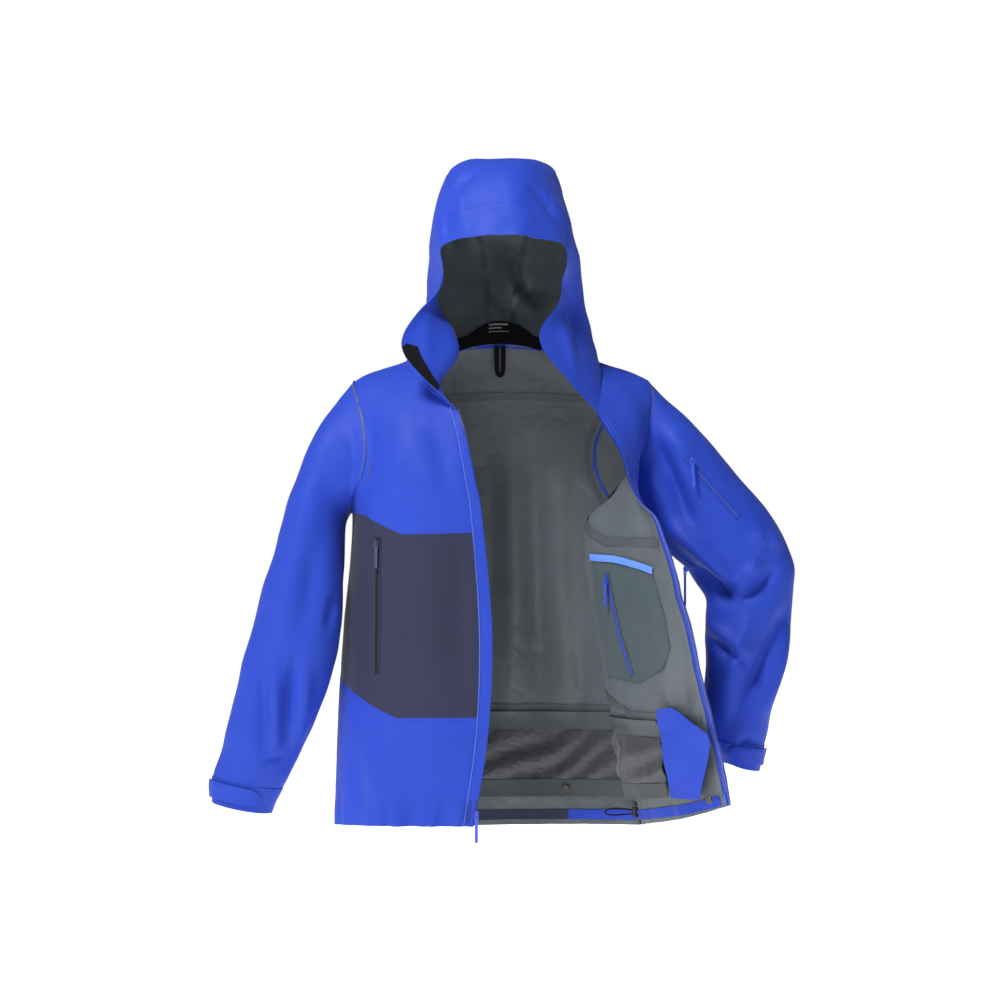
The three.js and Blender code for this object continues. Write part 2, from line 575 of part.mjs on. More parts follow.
const edgeFrame = (z) => {
  const centre = new THREE.Vector3(zipArc.x - zipArc.radius, frontPlane, zipArc.z);
  const place = new THREE.Vector3(zipEdge(z), frontPlane + fabric / 2 + tapeThickness, z);
  const radial = place.clone().sub(centre).setY(0).normalize();
  const out = new THREE.Vector3(0, -1, 0);
  return frameOf(place, radial, out.clone().cross(radial), out);
};
const sliderHeight = -742 * long;
const boxHeight = sliderHeight - slider.length / 2 - 6;
runner('main', edgeFrame(sliderHeight), 0, () => ({
  pivot: [zipArc.x - zipArc.radius, frontPlane, zipArc.z],
  axis: [0, 1, 0],
}), 46, colours.zipBlue, 0.2);
const boxLow = tapeThickness + gap;
add('zip_box', plate(edgeFrame(boxHeight), [[-3.5, -4.5], [3.5, -4.5], [3.5, 4.5], [-3.5, 4.5]],
  boxLow, boxLow + 1.6), colours.zipBlue, 0.4);
const pinPlace = [SPAN - 0.07, 5.9];
const pinOut = bodyCloth.normal(...pinPlace).negate();
const pinUp = bodyCloth.point(pinPlace[0], 5.8).sub(bodyCloth.point(...pinPlace)).normalize();
const pinAcross = pinUp.clone().cross(pinOut).normalize();
const pinFrame = frameOf(bodyCloth.lift(...pinPlace, layer(-1)[0] - gap - 0.4), pinAcross,
  pinOut.clone().cross(pinAcross), pinOut);
add('zip_pin', plate(pinFrame, [[-1.5, -9], [1.5, -9], [1.5, 9], [-1.5, 9]], 0, 2), colours.zipBlue,
  0.4);

// ---- inner pocket, on the inside of the left front ----------------------------------
const pocket = innerFrame([8.05, 3.4], [9.4, 4.5], fabric / 2 + 1);
add('inner_pocket', plate(pocket,
  [[-62, -20], [-30, -88], [40, -92], [72, -60], [68, 80], [-70, 92]], 0, fabric),
colours.pocketLining);
add('inner_pocket_binding', plate(pocket, [[-71, 93], [69, 81], [70, 91], [-72, 104]], 0,
  fabric + 0.6), colours.binding);
const pocketZip = { top: new THREE.Vector2(-34, 72), bottom: new THREE.Vector2(-4, -80) };
const slant = pocketZip.top.clone().sub(pocketZip.bottom);
const pocketZipUp = pocket.across.clone().multiplyScalar(slant.x / slant.length())
  .addScaledVector(pocket.up, slant.y / slant.length());
const pocketZipMiddle = pocket.origin.clone()
  .addScaledVector(pocket.across, (pocketZip.top.x + pocketZip.bottom.x) / 2)
  .addScaledVector(pocket.up, (pocketZip.top.y + pocketZip.bottom.y) / 2)
  .addScaledVector(pocket.out, fabric + gap);
const pocketZipFrame = frameOf(pocketZipMiddle, pocketZipUp.clone().cross(pocket.out),
  pocketZipUp, pocket.out);
pocketZipFrame.length = slant.length();
zip('inner_pocket', pocketZipFrame, { colour: colours.zipBlue });

// ---- powder skirt and its flap -----------------------------------------------------
// It hangs inside from a seam above the hem and stands off the shell towards its band.
const skirt = { top: 4.87, band: 5.54, bottom: 5.71, from: 1.2, to: 8.93, seam: 6, stand: 16 };
const standOff = (v) => THREE.MathUtils.lerp(skirt.seam, skirt.stand,
  THREE.MathUtils.smoothstep(v, skirt.top, skirt.band));
const skirtLayer = [(u, v) => -standOff(v) - fabric, (u, v) => -standOff(v)];
add('powder_skirt', cut(bodyCloth, bodyCell, [[skirt.from, skirt.top], [skirt.to, skirt.top],
  [skirt.to, skirt.band], [skirt.from, skirt.band]], skirtLayer), colours.taffeta);
const bandEdges = (share) => {
  const u = THREE.MathUtils.lerp(skirt.from, skirt.to, share);
  return [[u, skirt.bottom], [u, skirt.band + beside]];
};
add('powder_skirt_band', ribbon(bodyCloth, bandEdges, [-skirt.stand - fabric, -skirt.stand], 36),
  colours.lining);

function snapAt(name, frame, x, y, height) {
  const r = snap.radius;
  const t = snap.thickness;
  const profile = [[0, 0], [r, 0], [r, t * 0.5], [r * 0.8, t], [0, t]]
    .map(([a, b]) => new THREE.Vector2(a, b));
  const disc = new THREE.LatheGeometry(profile, 16).rotateX(Math.PI / 2);
  add(name, disc.translate(x, y, height).applyMatrix4(frame.matrix), colours.metal, 0.35, 0.8);
}
const flap = innerFrame([9.05, 4.95], [9.95, 5.65], skirt.stand * 0.6);
add('skirt_flap', plate(flap,
  [[-48, 69], [-48, 46], [-23, -69], [27, -74], [50, 22], [54, 31], [-19, 71]], 0, fabric),
colours.blue, 0.75, 0, {
  pivot: new THREE.Vector3(-48, 46, 0).applyMatrix4(flap.matrix).toArray(),
  axis: new THREE.Vector3(25, -115, 0).normalize().transformDirection(flap.matrix).toArray(),
});
snapAt('flap_snap_upper', flap, 38, 26, fabric + gap);
snapAt('flap_snap_lower', flap, 19, -62, fabric + gap);
const bandPlace = [5.88, (skirt.band + skirt.bottom) / 2];
const bandOut = bodyCloth.normal(...bandPlace).negate();
const bandAcross = new THREE.Vector3(0, 0, 1).cross(bandOut).normalize();
const bandFrame = frameOf(bodyCloth.lift(...bandPlace, -skirt.stand - fabric - 1.5), bandAcross,
  bandOut.clone().cross(bandAcross), bandOut);
snapAt('band_snap', bandFrame, 0, 0, 0);

// ---- hanger loop and hem cord ------------------------------------------------------
// A flat strap sewn in at the neck seam: a long loop in front of the back yoke.
const loopTop = -3;
const loopTaper = 0.8;         // width at the loop's end as a share of that at its top
const loopSide = loopWidth / 2;
const loopShape = new THREE.Shape([[-loopSide, loopTop], [-loopSide * loopTaper, -loopLength],
  [loopSide * loopTaper, -loopLength], [loopSide, loopTop]]
  .map(([x, y]) => new THREE.Vector2(x, y)));
const holeSide = loopSide - strapWidth;
loopShape.holes.push(new THREE.Path([[-holeSide, loopTop - strapWidth],
  [holeSide, loopTop - strapWidth], [holeSide * loopTaper, strapWidth - loopLength],
  [-holeSide * loopTaper, strapWidth - loopLength]].map(([x, y]) => new THREE.Vector2(x, y))));
const loopFront = -1.5;
add('hanger_loop', new THREE.ExtrudeGeometry(loopShape, { depth: fabric, bevelEnabled: false })
  .applyMatrix4(new THREE.Matrix4().makeBasis(new THREE.Vector3(1, 0, 0),
    new THREE.Vector3(0, 0, 1), new THREE.Vector3(0, -1, 0)).setPosition(0, loopFront, 0)),
colours.black);

// The hem's shock cord comes out as a short loop through a push-button lock.
const lockPlace = [7.62, 5.86];
const lockFrame = frameOf(bodyCloth.lift(...lockPlace, -lock.radius - fabric / 2 - 3),
  new THREE.Vector3(-1, 0, 0), new THREE.Vector3(0, 0, 1), new THREE.Vector3(0, 1, 0));
const barrel = (radius, from, to) => new THREE.CylinderGeometry(radius, radius, to - from, 14)
  .translate(0, (from + to) / 2, 0).applyMatrix4(lockFrame.matrix);
const lockEnd = lock.length / 2;
const buttonFoot = lockEnd + gap + lock.travel;
add('cord_lock', barrel(lock.radius, -lockEnd, lockEnd), colours.black, 0.5);
add('lock_button', barrel(lock.button, buttonFoot, buttonFoot + 5), colours.black, 0.5, 0,
  { axis: lockFrame.up.clone().negate().toArray(), range: [0, lock.travel] });

// The loop's route, beside the lock: out from its face, round and back to it.
const cordStart = lock.radius + gap;
const route = [[0, 3], [12, 5], [26, 6], [38, 4], [42, 0], [38, -4], [26, -5], [12, -4], [0, -3]];
const cordPath = new THREE.CatmullRomCurve3(route.map(([x, y]) => (
  new THREE.Vector3(cordStart + x, y, 0).applyMatrix4(lockFrame.matrix))));
const round = new THREE.Shape().absarc(0, 0, cordDiameter / 2, 0, 2 * Math.PI);
add('hem_cord', new THREE.ExtrudeGeometry(round, { steps: 22, curveSegments: 4,
  extrudePath: cordPath }), colours.black);

export default jacket;
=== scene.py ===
# A hooded hardshell ski jacket, hung by the loop at its back neck, with the front zip open
# and the left front folded back so that the lining, the inner pocket and the powder skirt
# show. Metres: +X is the wearer's left, -Y the front, +Z up, and the origin is the loop's top.
import math
import bmesh
import bpy
import numpy as np
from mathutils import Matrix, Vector, geometry, noise


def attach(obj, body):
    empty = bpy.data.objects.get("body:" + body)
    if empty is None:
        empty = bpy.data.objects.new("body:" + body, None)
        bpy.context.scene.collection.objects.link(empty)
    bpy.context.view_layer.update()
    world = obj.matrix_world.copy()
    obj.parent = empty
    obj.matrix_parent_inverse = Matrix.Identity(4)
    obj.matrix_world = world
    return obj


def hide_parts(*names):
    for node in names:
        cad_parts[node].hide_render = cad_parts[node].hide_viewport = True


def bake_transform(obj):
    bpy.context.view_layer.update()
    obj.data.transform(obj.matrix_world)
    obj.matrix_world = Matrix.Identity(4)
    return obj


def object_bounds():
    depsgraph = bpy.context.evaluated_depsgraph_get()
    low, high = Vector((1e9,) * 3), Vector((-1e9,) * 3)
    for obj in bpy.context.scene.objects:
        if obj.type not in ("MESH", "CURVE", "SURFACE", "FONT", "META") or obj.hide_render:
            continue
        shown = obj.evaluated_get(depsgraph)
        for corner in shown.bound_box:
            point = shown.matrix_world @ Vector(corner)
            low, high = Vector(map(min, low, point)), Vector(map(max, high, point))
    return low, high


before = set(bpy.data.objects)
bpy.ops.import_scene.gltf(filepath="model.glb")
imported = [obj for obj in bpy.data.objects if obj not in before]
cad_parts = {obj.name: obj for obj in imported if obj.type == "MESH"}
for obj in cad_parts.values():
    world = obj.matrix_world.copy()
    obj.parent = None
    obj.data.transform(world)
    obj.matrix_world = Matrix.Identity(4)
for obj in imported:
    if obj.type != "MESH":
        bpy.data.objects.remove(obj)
cad_box = [list(corner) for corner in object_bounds()]
scene = bpy.context.scene

# ---- studio --------------------------------------------------------------------------
# A photo studio: a pale sweep under the jacket, a big soft lamp high on the left, a weak
# one on the right, and a long lens level with the middle of the jacket.
EYE_HEIGHT = -0.255
EYE_DISTANCE = 4.11
FLOOR_DROP = 0.13


def add_object(name, data):
    thing = bpy.data.objects.new(name, data)
    scene.collection.objects.link(thing)
    return thing


camera = add_object("studio_camera", bpy.data.cameras.new("studio_camera"))
camera.location = (0, -EYE_DISTANCE, EYE_HEIGHT)
camera.rotation_euler = (math.radians(90), 0, 0)
camera.data.lens = 90
camera.data.sensor_width = 36
scene.camera = camera


def soft_lamp(name, place, target, size, power, colour=(1, 1, 1)):
    lamp = add_object(name, bpy.data.lights.new(name, "AREA"))
    lamp.data.shape = "RECTANGLE"
    lamp.data.size, lamp.data.size_y = size
    lamp.data.energy = power
    lamp.data.color = colour
    lamp.location = place
    lamp.rotation_euler = (Vector(target) - Vector(place)).to_track_quat("-Z", "Y").to_euler()


soft_lamp("key_lamp", (-1.2, -1.7, 2.6), (0, 0, -0.25), (0.8, 0.8), 112)
soft_lamp("side_lamp", (-2.4, -2.2, 0.3), (0, 0, -0.3), (0.7, 1.2), 11)
soft_lamp("face_lamp", (0.1, -3.6, 0.5), (0, 0, -0.2), (1.0, 1.0), 4)

sky = bpy.data.worlds.new("studio_white")
scene.world = sky
sky.use_nodes = True
sky_nodes, sky_links = sky.node_tree.nodes, sky.node_tree.links
seen = sky_nodes.new("ShaderNodeBackground")
seen.inputs["Color"].default_value = (1, 1, 1, 1)
seen.inputs["Strength"].default_value = 1.0
ambient = sky_nodes["Background"]
ambient.inputs["Color"].default_value = (0.93, 0.96, 1, 1)
ambient.inputs["Strength"].default_value = 0.12
which = sky_nodes.new("ShaderNodeLightPath")
pick = sky_nodes.new("ShaderNodeMixShader")
sky_links.new(which.outputs["Is Camera Ray"], pick.inputs["Fac"])
sky_links.new(ambient.outputs["Background"], pick.inputs[1])
sky_links.new(seen.outputs["Background"], pick.inputs[2])
sky_links.new(pick.outputs["Shader"], sky_nodes["World Output"].inputs["Surface"])
scene.view_settings.view_transform = "Standard"

floor_mesh = bpy.data.meshes.new("studio_floor")
floor_level = cad_box[0][2] - FLOOR_DROP
floor_mesh.from_pydata([(-6, -6, floor_level), (6, -6, floor_level), (6, 6, floor_level),
                        (-6, 6, floor_level)], [], [(0, 1, 2, 3)])
floor = add_object("studio_floor", floor_mesh)
paper = bpy.data.materials.new("studio_paper")
paper.use_nodes = True
paper.node_tree.nodes["Principled BSDF"].inputs["Base Color"].default_value = (0.92, 0.92, 0.92, 1)
paper.node_tree.nodes["Principled BSDF"].inputs["Roughness"].default_value = 0.9
paper.node_tree.nodes["Principled BSDF"].inputs["Emission Color"].default_value = (1, 1, 1, 1)
paper.node_tree.nodes["Principled BSDF"].inputs["Emission Strength"].default_value = 1.0
floor_mesh.materials.append(paper)


# ---- cloth finishes ------------------------------------------------------------------
# Shell cloth: three laminated layers, a smooth fine weave outside and a grey backer
# inside. The taffeta, the lining and the bindings are finer or coarser weaves.
def new_group(name, inputs, outputs):
    group = bpy.data.node_groups.new(name, "ShaderNodeTree")
    for title, kind, value in inputs:
        socket = group.interface.new_socket(title, in_out="INPUT", socket_type=kind)
        if value is not None:
            socket.default_value = value
    for title, kind in outputs:
        group.interface.new_socket(title, in_out="OUTPUT", socket_type=kind)
    return group, group.nodes.new("NodeGroupInput"), group.nodes.new("NodeGroupOutput")


def math_node(tree, operation, first, second=None, third=None):
    node = tree.nodes.new("ShaderNodeMath")
    node.operation = operation
    for slot, value in enumerate((first, second, third)):
        if isinstance(value, (int, float)):
            node.inputs[slot].default_value = value
        elif value is not None:
            tree.links.new(value, node.inputs[slot])
    return node.outputs[0]


# Threads crossing at right angles along the cloth's own UV map, over one and under one.
weave, given, put = new_group(
    "plain_weave",
    [("Place", "NodeSocketVector", None), ("Threads", "NodeSocketFloat", 1600.0)],
    [("Height", "NodeSocketFloat")],
)
spread = weave.nodes.new("ShaderNodeVectorMath")
spread.operation = "SCALE"
weave.links.new(given.outputs["Place"], spread.inputs[0])
weave.links.new(given.outputs["Threads"], spread.inputs["Scale"])
split = weave.nodes.new("ShaderNodeSeparateXYZ")
weave.links.new(spread.outputs[0], split.inputs[0])
warp = math_node(weave, "SINE", split.outputs["X"])
weft = math_node(weave, "SINE", split.outputs["Y"])
crossing = math_node(weave, "MULTIPLY", warp, weft)
weave.links.new(math_node(weave, "MULTIPLY_ADD", crossing, 0.5, 0.5), put.inputs["Height"])

# Soft crumple and cloudy tone that a handled, packed cloth has.
crumple, given, put = new_group(
    "handled_cloth",
    [("Place", "NodeSocketVector", None), ("Scale", "NodeSocketFloat", 30.0)],
    [("Crease", "NodeSocketFloat"), ("Cloud", "NodeSocketFloat")],
)
bent = crumple.nodes.new("ShaderNodeTexNoise")
bent.inputs["Detail"].default_value = 4
bent.inputs["Roughness"].default_value = 0.55
crumple.links.new(given.outputs["Place"], bent.inputs["Vector"])
crumple.links.new(given.outputs["Scale"], bent.inputs["Scale"])
ridge = math_node(crumple, "ABSOLUTE", math_node(crumple, "SUBTRACT", bent.outputs["Fac"], 0.5))
crumple.links.new(math_node(crumple, "MULTIPLY", ridge, 2.0), put.inputs["Crease"])
cloud = crumple.nodes.new("ShaderNodeTexNoise")
cloud.inputs["Scale"].default_value = 6
cloud.inputs["Detail"].default_value = 2
crumple.links.new(given.outputs["Place"], cloud.inputs["Vector"])
crumple.links.new(cloud.outputs["Fac"], put.inputs["Cloud"])


def cloth_finish(name, colour, roughness=0.6, threads=3200.0, weave_depth=0.06, crease=0.25,
                 crease_scale=30.0, tone=0.12, sheen=0.1, specular=0.3):
    """A woven cloth: tone and gloss vary softly, and weave and crumple stand up as relief."""
    material = bpy.data.materials.new(name)
    material.use_nodes = True
    tree = material.node_tree
    shader = tree.nodes["Principled BSDF"]
    shader.inputs["Sheen Weight"].default_value = sheen
    shader.inputs["Specular IOR Level"].default_value = specular
    place = tree.nodes.new("ShaderNodeTexCoord")
    threads_node = tree.nodes.new("ShaderNodeGroup")
    threads_node.node_tree = weave
    threads_node.inputs["Threads"].default_value = threads
    tree.links.new(place.outputs["UV"], threads_node.inputs["Place"])
    handled = tree.nodes.new("ShaderNodeGroup")
    handled.node_tree = crumple
    handled.inputs["Scale"].default_value = crease_scale
    tree.links.new(place.outputs["Object"], handled.inputs["Place"])

    tint = tree.nodes.new("ShaderNodeMix")
    tint.data_type = "RGBA"
    tint.inputs[6].default_value = (*[c * (1 - tone) for c in colour], 1)
    tint.inputs[7].default_value = (*[min(1, c * (1 + tone)) for c in colour], 1)
    tree.links.new(handled.outputs["Cloud"], tint.inputs[0])
    tree.links.new(tint.outputs[2], shader.inputs["Base Color"])
    gloss = math_node(tree, "MULTIPLY_ADD", handled.outputs["Crease"], 0.15, roughness - 0.04)
    tree.links.new(gloss, shader.inputs["Roughness"])

    fine = tree.nodes.new("ShaderNodeBump")
    fine.inputs["Strength"].default_value = weave_depth
    fine.inputs["Distance"].default_value = 0.0002
    tree.links.new(threads_node.outputs["Height"], fine.inputs["Height"])
    broad = tree.nodes.new("ShaderNodeBump")
    broad.inputs["Strength"].default_value = crease
    broad.inputs["Distance"].default_value = 0.004
    tree.links.new(handled.outputs["Crease"], broad.inputs["Height"])
    tree.links.new(fine.outputs["Normal"], broad.inputs["Normal"])
    tree.links.new(broad.outputs["Normal"], shader.inputs["Normal"])
    return material


shell_blue = cloth_finish("shell_blue", (0.022, 0.062, 0.50), crease=0.3, crease_scale=14, sheen=0.04,
                          specular=0.2)
shell_navy = cloth_finish("shell_navy", (0.020, 0.024, 0.058), roughness=0.65, crease=0.25,
                          crease_scale=14)
backer = cloth_finish("grey_backer", (0.108, 0.125, 0.140), roughness=0.45, crease=0.9,
                      crease_scale=13, tone=0.2, sheen=0.05, specular=0.4)
tape_grey = cloth_finish("seam_tape", (0.088, 0.100, 0.112), roughness=0.4, crease=0.3,
                         tone=0.15, sheen=0.0)
taffeta = cloth_finish("skirt_taffeta", (0.050, 0.053, 0.062), roughness=0.42, crease=0.5,
                       crease_scale=45, tone=0.2, sheen=0.2, specular=0.5)
pocket_cloth = cloth_finish("pocket_cloth", (0.062, 0.088, 0.098), roughness=0.65, crease=0.4,
                            tone=0.15)
elastic = cloth_finish("elastic_band", (0.060, 0.068, 0.070), roughness=0.7, threads=1500.0,
                       weave_depth=0.5, tone=0.1)
light_blue = cloth_finish("light_binding", (0.13, 0.30, 0.95), roughness=0.55, tone=0.06)
black_cloth = cloth_finish("black_brushed", (0.006, 0.006, 0.007), roughness=0.85, sheen=0.03, specular=0.15,
                           threads=1800.0, weave_depth=0.4)


# ---- the jacket's surfaces -----------------------------------------------------------
# Every panel is cut from a smooth surface, as a pattern piece is cut from cloth: u runs
# along a row of the net and v across the rows. Nets are in millimetres.
MM = 0.001


def spline_shares(places, count, closed):
    """How much each of count points in a row counts at each place along the row."""
    places = np.asarray(places, float)
    cell = np.floor(places).astype(int)
    if not closed:
        cell = np.clip(cell, 0, count - 2)
    w = places - cell
    parts = (0.5 * (-w + 2 * w**2 - w**3), 0.5 * (2 - 5 * w**2 + 3 * w**3),
             0.5 * (w + 4 * w**2 - 3 * w**3), 0.5 * (-w**2 + w**3))
    shares = np.zeros((len(places), count))
    row = np.arange(len(places))
    for step, part in zip((-1, 0, 1, 2), parts):
        index = cell + step
        if closed:
            np.add.at(shares, (row, index % count), part)
            continue
        before, after = index < 0, index >= count
        inner = ~before & ~after
        np.add.at(shares, (row[inner], index[inner]), part[inner])
        for end, (first, second) in ((before, (0, 1)), (after, (count - 1, count - 2))):
            np.add.at(shares, (row[end], first), 2 * part[end])
            np.add.at(shares, (row[end], second), -part[end])
    return shares


class Cloth:
    """A smooth surface through a net of points, whose rows may be closed rings."""

    def __init__(self, rows, closed=False):
        self.net = np.array(rows, float) * MM
        self.closed = closed
        self.lines = len(rows) - 1
        self.columns = len(rows[0]) - (0 if closed else 1)

    def at(self, u, v):
        along = spline_shares(u, self.net.shape[1], self.closed)
        down = spline_shares(v, self.net.shape[0], False)
        return np.einsum("kr,kc,rcx->kx", down, along, self.net)

    def out(self, u, v):
        """Unit normals that point out of the garment."""
        u, v = np.asarray(u, float), np.asarray(v, float)
        step = 0.02
        if self.closed:
            low, high = u - step, u + step
        else:
            low, high = np.maximum(u - step, 0), np.minimum(u + step, self.columns)
        top, bottom = np.maximum(v - step, 0), np.minimum(v + step, self.lines)
        normal = np.cross(self.at(high, v) - self.at(low, v), self.at(u, bottom) - self.at(u, top))
        return normal / np.linalg.norm(normal, axis=1, keepdims=True)

    def relief(self, u, v, base, out):
        """How far folds raise the cloth; each surface below gets its own."""
        return np.zeros(len(base))

    def skin(self, u, v, height=0.0):
        """Places on the folded cloth, or at a height above it."""
        u, v = np.atleast_1d(u).astype(float), np.atleast_1d(v).astype(float)
        base, out = self.at(u, v), self.out(u, v)
        return base + out * np.reshape(self.relief(u, v, base, out) + height, (-1, 1))

    def lift(self, u, v, height):
        """Places at a height above the unfolded surface."""
        u, v = np.atleast_1d(u).astype(float), np.atleast_1d(v).astype(float)
        return self.at(u, v) + self.out(u, v) * height


FRONT = -230
ZIP_RADIUS, ZIP_X, ZIP_Z = 1320, -12, -488


def on_zip_edge(z):
    return (ZIP_X - ZIP_RADIUS + math.sqrt(ZIP_RADIUS**2 - (z - ZIP_Z) ** 2), FRONT, z)


SIDE_R, SIDE_L = 3, 7
body = Cloth([
    [(-69, -185, -114), (-115, -150, -80), (-140, -115, -50), (-150, -70, -30), (-85, -10, -8),
     (0, 8, 0), (85, -10, -8), (150, -70, -30), (160, -115, -55), (160, -150, -85),
     (155, -180, -116)],
    [(-53, -205, -161), (-120, -190, -130), (-190, -150, -105), (-245, -80, -75),
     (-170, 5, -70), (0, 18, -60), (150, 5, -65), (245, -80, -72), (225, -140, -110),
     (205, -180, -150), (188, -215, -178)],
    [on_zip_edge(-235), (-115, -230, -215), (-205, -185, -200), (-258, -100, -190),
     (-185, 10, -180), (0, 28, -170), (135, 15, -175), (240, -60, -185), (215, -130, -205),
     (220, -190, -230), (219, -245, -253)],
    [on_zip_edge(-285), (-110, -230, -285), (-207, -195, -285), (-236, -85, -285),
     (-180, 5, -285), (0, 18, -285), (125, 8, -288), (195, -50, -290), (140, -110, -295),
     (198, -185, -300), (252, -265, -303)],
    [on_zip_edge(-455), (-110, -230, -455), (-207, -195, -455), (-250, -88, -455),
     (-178, 2, -455), (0, 15, -455), (120, 10, -455), (192, -45, -455), (150, -105, -455),
     (225, -205, -452), (292, -290, -449)],
    [on_zip_edge(-615), (-110, -230, -615), (-207, -195, -618), (-260, -95, -620),
     (-175, 0, -625), (0, 15, -625), (125, 8, -625), (212, -45, -622), (187, -110, -620),
     (258, -215, -618), (333, -290, -614)],
    [on_zip_edge(-762), (-120, -230, -762), (-207, -200, -765), (-265, -100, -775),
     (-175, -10, -790), (0, 12, -790), (125, 5, -788), (225, -50, -782), (236, -118, -771),
     (290, -215, -750), (355, -280, -722)],
])


def neck(u):
    return tuple(body.at([u], [0])[0] / MM)


NAPE = (3.7, 4.0, 4.25, 4.5, 4.75, 5, 5.25, 5.5, 5.75, 6.0, 6.3)
hood = Cloth([
    [neck(0), (-155, -190, -14), (-95, -150, 86), (-94, -190, 142), (-37, -230, 156),
     (11, -238, 157), (53, -230, 153), (103, -190, 140), (98, -150, 68), (64, -190, -10),
     neck(10)],
    [neck(1), (-65, -150, -17), (-108, -90, 80), (-104, -150, 190), (-55, -165, 250),
     (8, -175, 262), (62, -165, 250), (108, -150, 190), (131, -90, 84), (120, -150, -5),
     neck(9)],
    [neck(1.9), (-125, -85, 0), (-118, -50, 80), (-101, -80, 214), (-72, -80, 283),
     (6, -85, 294), (80, -80, 283), (106, -80, 210), (135, -50, 84), (150, -85, 0), neck(8.1)],
    [neck(2.7), (-115, -25, 20), (-105, 0, 90), (-90, 10, 185), (-55, 15, 250), (5, 20, 265),
     (65, 15, 250), (97, 10, 185), (115, 0, 90), (125, -25, 20), neck(7.3)],
    [neck(3.3), (-95, -8, 15), (-72, 25, 60), (-50, 48, 120), (-30, 58, 155), (4, 60, 165),
     (38, 58, 155), (58, 48, 120), (80, 25, 60), (102, -8, 15), neck(6.7)],
    [neck(u) for u in NAPE],
])

RING = 12
ARMHOLE_ROW, ARMHOLE_WIDE, ARMHOLE_HIGH = 1.9, 0.85, 1.0


def sleeve_cloth(side, front, sections):
    """An arm: the armhole's ring, then rings given by (outer x z), (inner x z), y and depth."""
    turn = np.arange(RING) / RING * 2 * math.pi
    head = body.at(side + ARMHOLE_WIDE * np.cos(turn), ARMHOLE_ROW + ARMHOLE_HIGH * np.sin(turn))
    rows = [head / MM]
    for outer, inner, y, depth in sections:
        far, near = np.array([outer[0], y, outer[1]]), np.array([inner[0], y, inner[1]])
        centre = (far + near) / 2
        rows.append(centre + np.outer(np.cos(turn), (0, -front * depth, 0))
                    + np.outer(np.sin(turn), near - centre))
    return Cloth(rows, closed=True)


right_arm = sleeve_cloth(SIDE_R, -1, [
    ((-299, -144), (-245, -298), -112, 60), ((-333, -239), (-246, -345), -128, 56),
    ((-363, -345), (-246, -394), -145, 56), ((-396, -455), (-252, -494), -152, 58),
    ((-422, -555), (-284, -592), -154, 56), ((-443, -645), (-324, -678), -152, 50),
    ((-456, -698), (-345, -718), -150, 44), ((-456, -733), (-359, -751), -150, 42),
])
left_arm = sleeve_cloth(SIDE_L, 1, [
    ((312, -133), (230, -288), -100, 60), ((378, -207), (262, -333), -115, 62),
    ((430, -272), (298, -368), -125, 60), ((468, -345), (324, -406), -130, 58),
    ((471, -394), (326, -440), -132, 56), ((462, -458), (325, -482), -135, 56),
    ((447, -528), (322, -545), -138, 54), ((431, -604), (322, -600), -140, 50),
    ((420, -650), (336, -640), -140, 46), ((412, -684), (352, -672), -140, 44),
])


# ---- folds ---------------------------------------------------------------------------
# The cloth hangs in soft folds and small waves. They die away towards the seams, where
# the tape stiffens it, so that two panels meet along a seam.
def soft_folds(points, lines):
    """Height of folds seen from the front: lines are (height, width, [(x, z), ...]) in mm."""
    total = np.zeros(len(points))
    flat = points[:, [0, 2]]
    for height, width, path in lines:
        path = np.array(path, float) * MM
        lengths = np.linalg.norm(np.diff(path, axis=0), axis=1)
        before = np.concatenate([[0], np.cumsum(lengths)])
        nearest = np.full(len(points), np.inf)
        along = np.zeros(len(points))
        for i, (start, end) in enumerate(zip(path[:-1], path[1:])):
            line = end - start
            share = np.clip(((flat - start) @ line) / float(line @ line), 0, 1)
            gap = np.linalg.norm(flat - start - share[:, None] * line, axis=1)
            closer = gap < nearest
            nearest[closer] = gap[closer]
            along[closer] = (before[i] + share * lengths[i])[closer] / before[-1]
        fade = np.sin(np.pi * np.clip(along, 0.02, 0.98)) ** 0.7
        total += height * MM * fade * np.exp(-((nearest / (width * MM)) ** 2))
    return total


def drape(points, size, height, seed):
    """A slow random wave over the cloth."""
    return np.array([noise.fractal(Vector(p) / size + Vector((seed, 0, 0)), 0.9, 2.0, 2)
                     for p in points]) * height


RIGHT_FOLDS = [
    (-8, 22, [(-222, -130), (-212, -200), (-208, -262)]),
    (5, 22, [(-160, -100), (-150, -160), (-175, -240)]),
    (-6, 20, [(-108, -120), (-92, -190), (-80, -260)]),
    (-4, 18, [(-60, -300), (-62, -420), (-70, -560)]),
    (4, 24, [(-115, -310), (-120, -430), (-112, -580)]),
    (-5, 15, [(-232, -640), (-222, -700), (-214, -755)]),
    (5, 18, [(-180, -640), (-190, -700), (-182, -770)]),
    (-5, 9, [(-182, -720), (-180, -780)]), (-4, 7, [(-142, -735), (-141, -780)]),
    (-5, 8, [(-77, -730), (-75, -780)]), (4, 9, [(-160, -735), (-160, -780)]),
    (4, 9, [(-110, -730), (-110, -780)]),
]
LEFT_FOLDS = [
    (5, 14, [(150, -150), (172, -230), (168, -300)]),
    (-6, 18, [(205, -180), (208, -260), (200, -330)]),
    (4, 12, [(150, -470), (185, -520), (205, -600)]),
    (-5, 12, [(240, -520), (262, -560), (270, -610)]),
    (4, 10, [(262, -500), (285, -560), (292, -600)]),
    (-5, 10, [(160, -590), (210, -600), (262, -596)]),
    (4, 8, [(170, -612), (215, -622), (262, -615)]),
    (3, 8, [(175, -340), (215, -350), (245, -345)]),
    (-3, 6, [(165, -322), (200, -330), (235, -322)]),
]
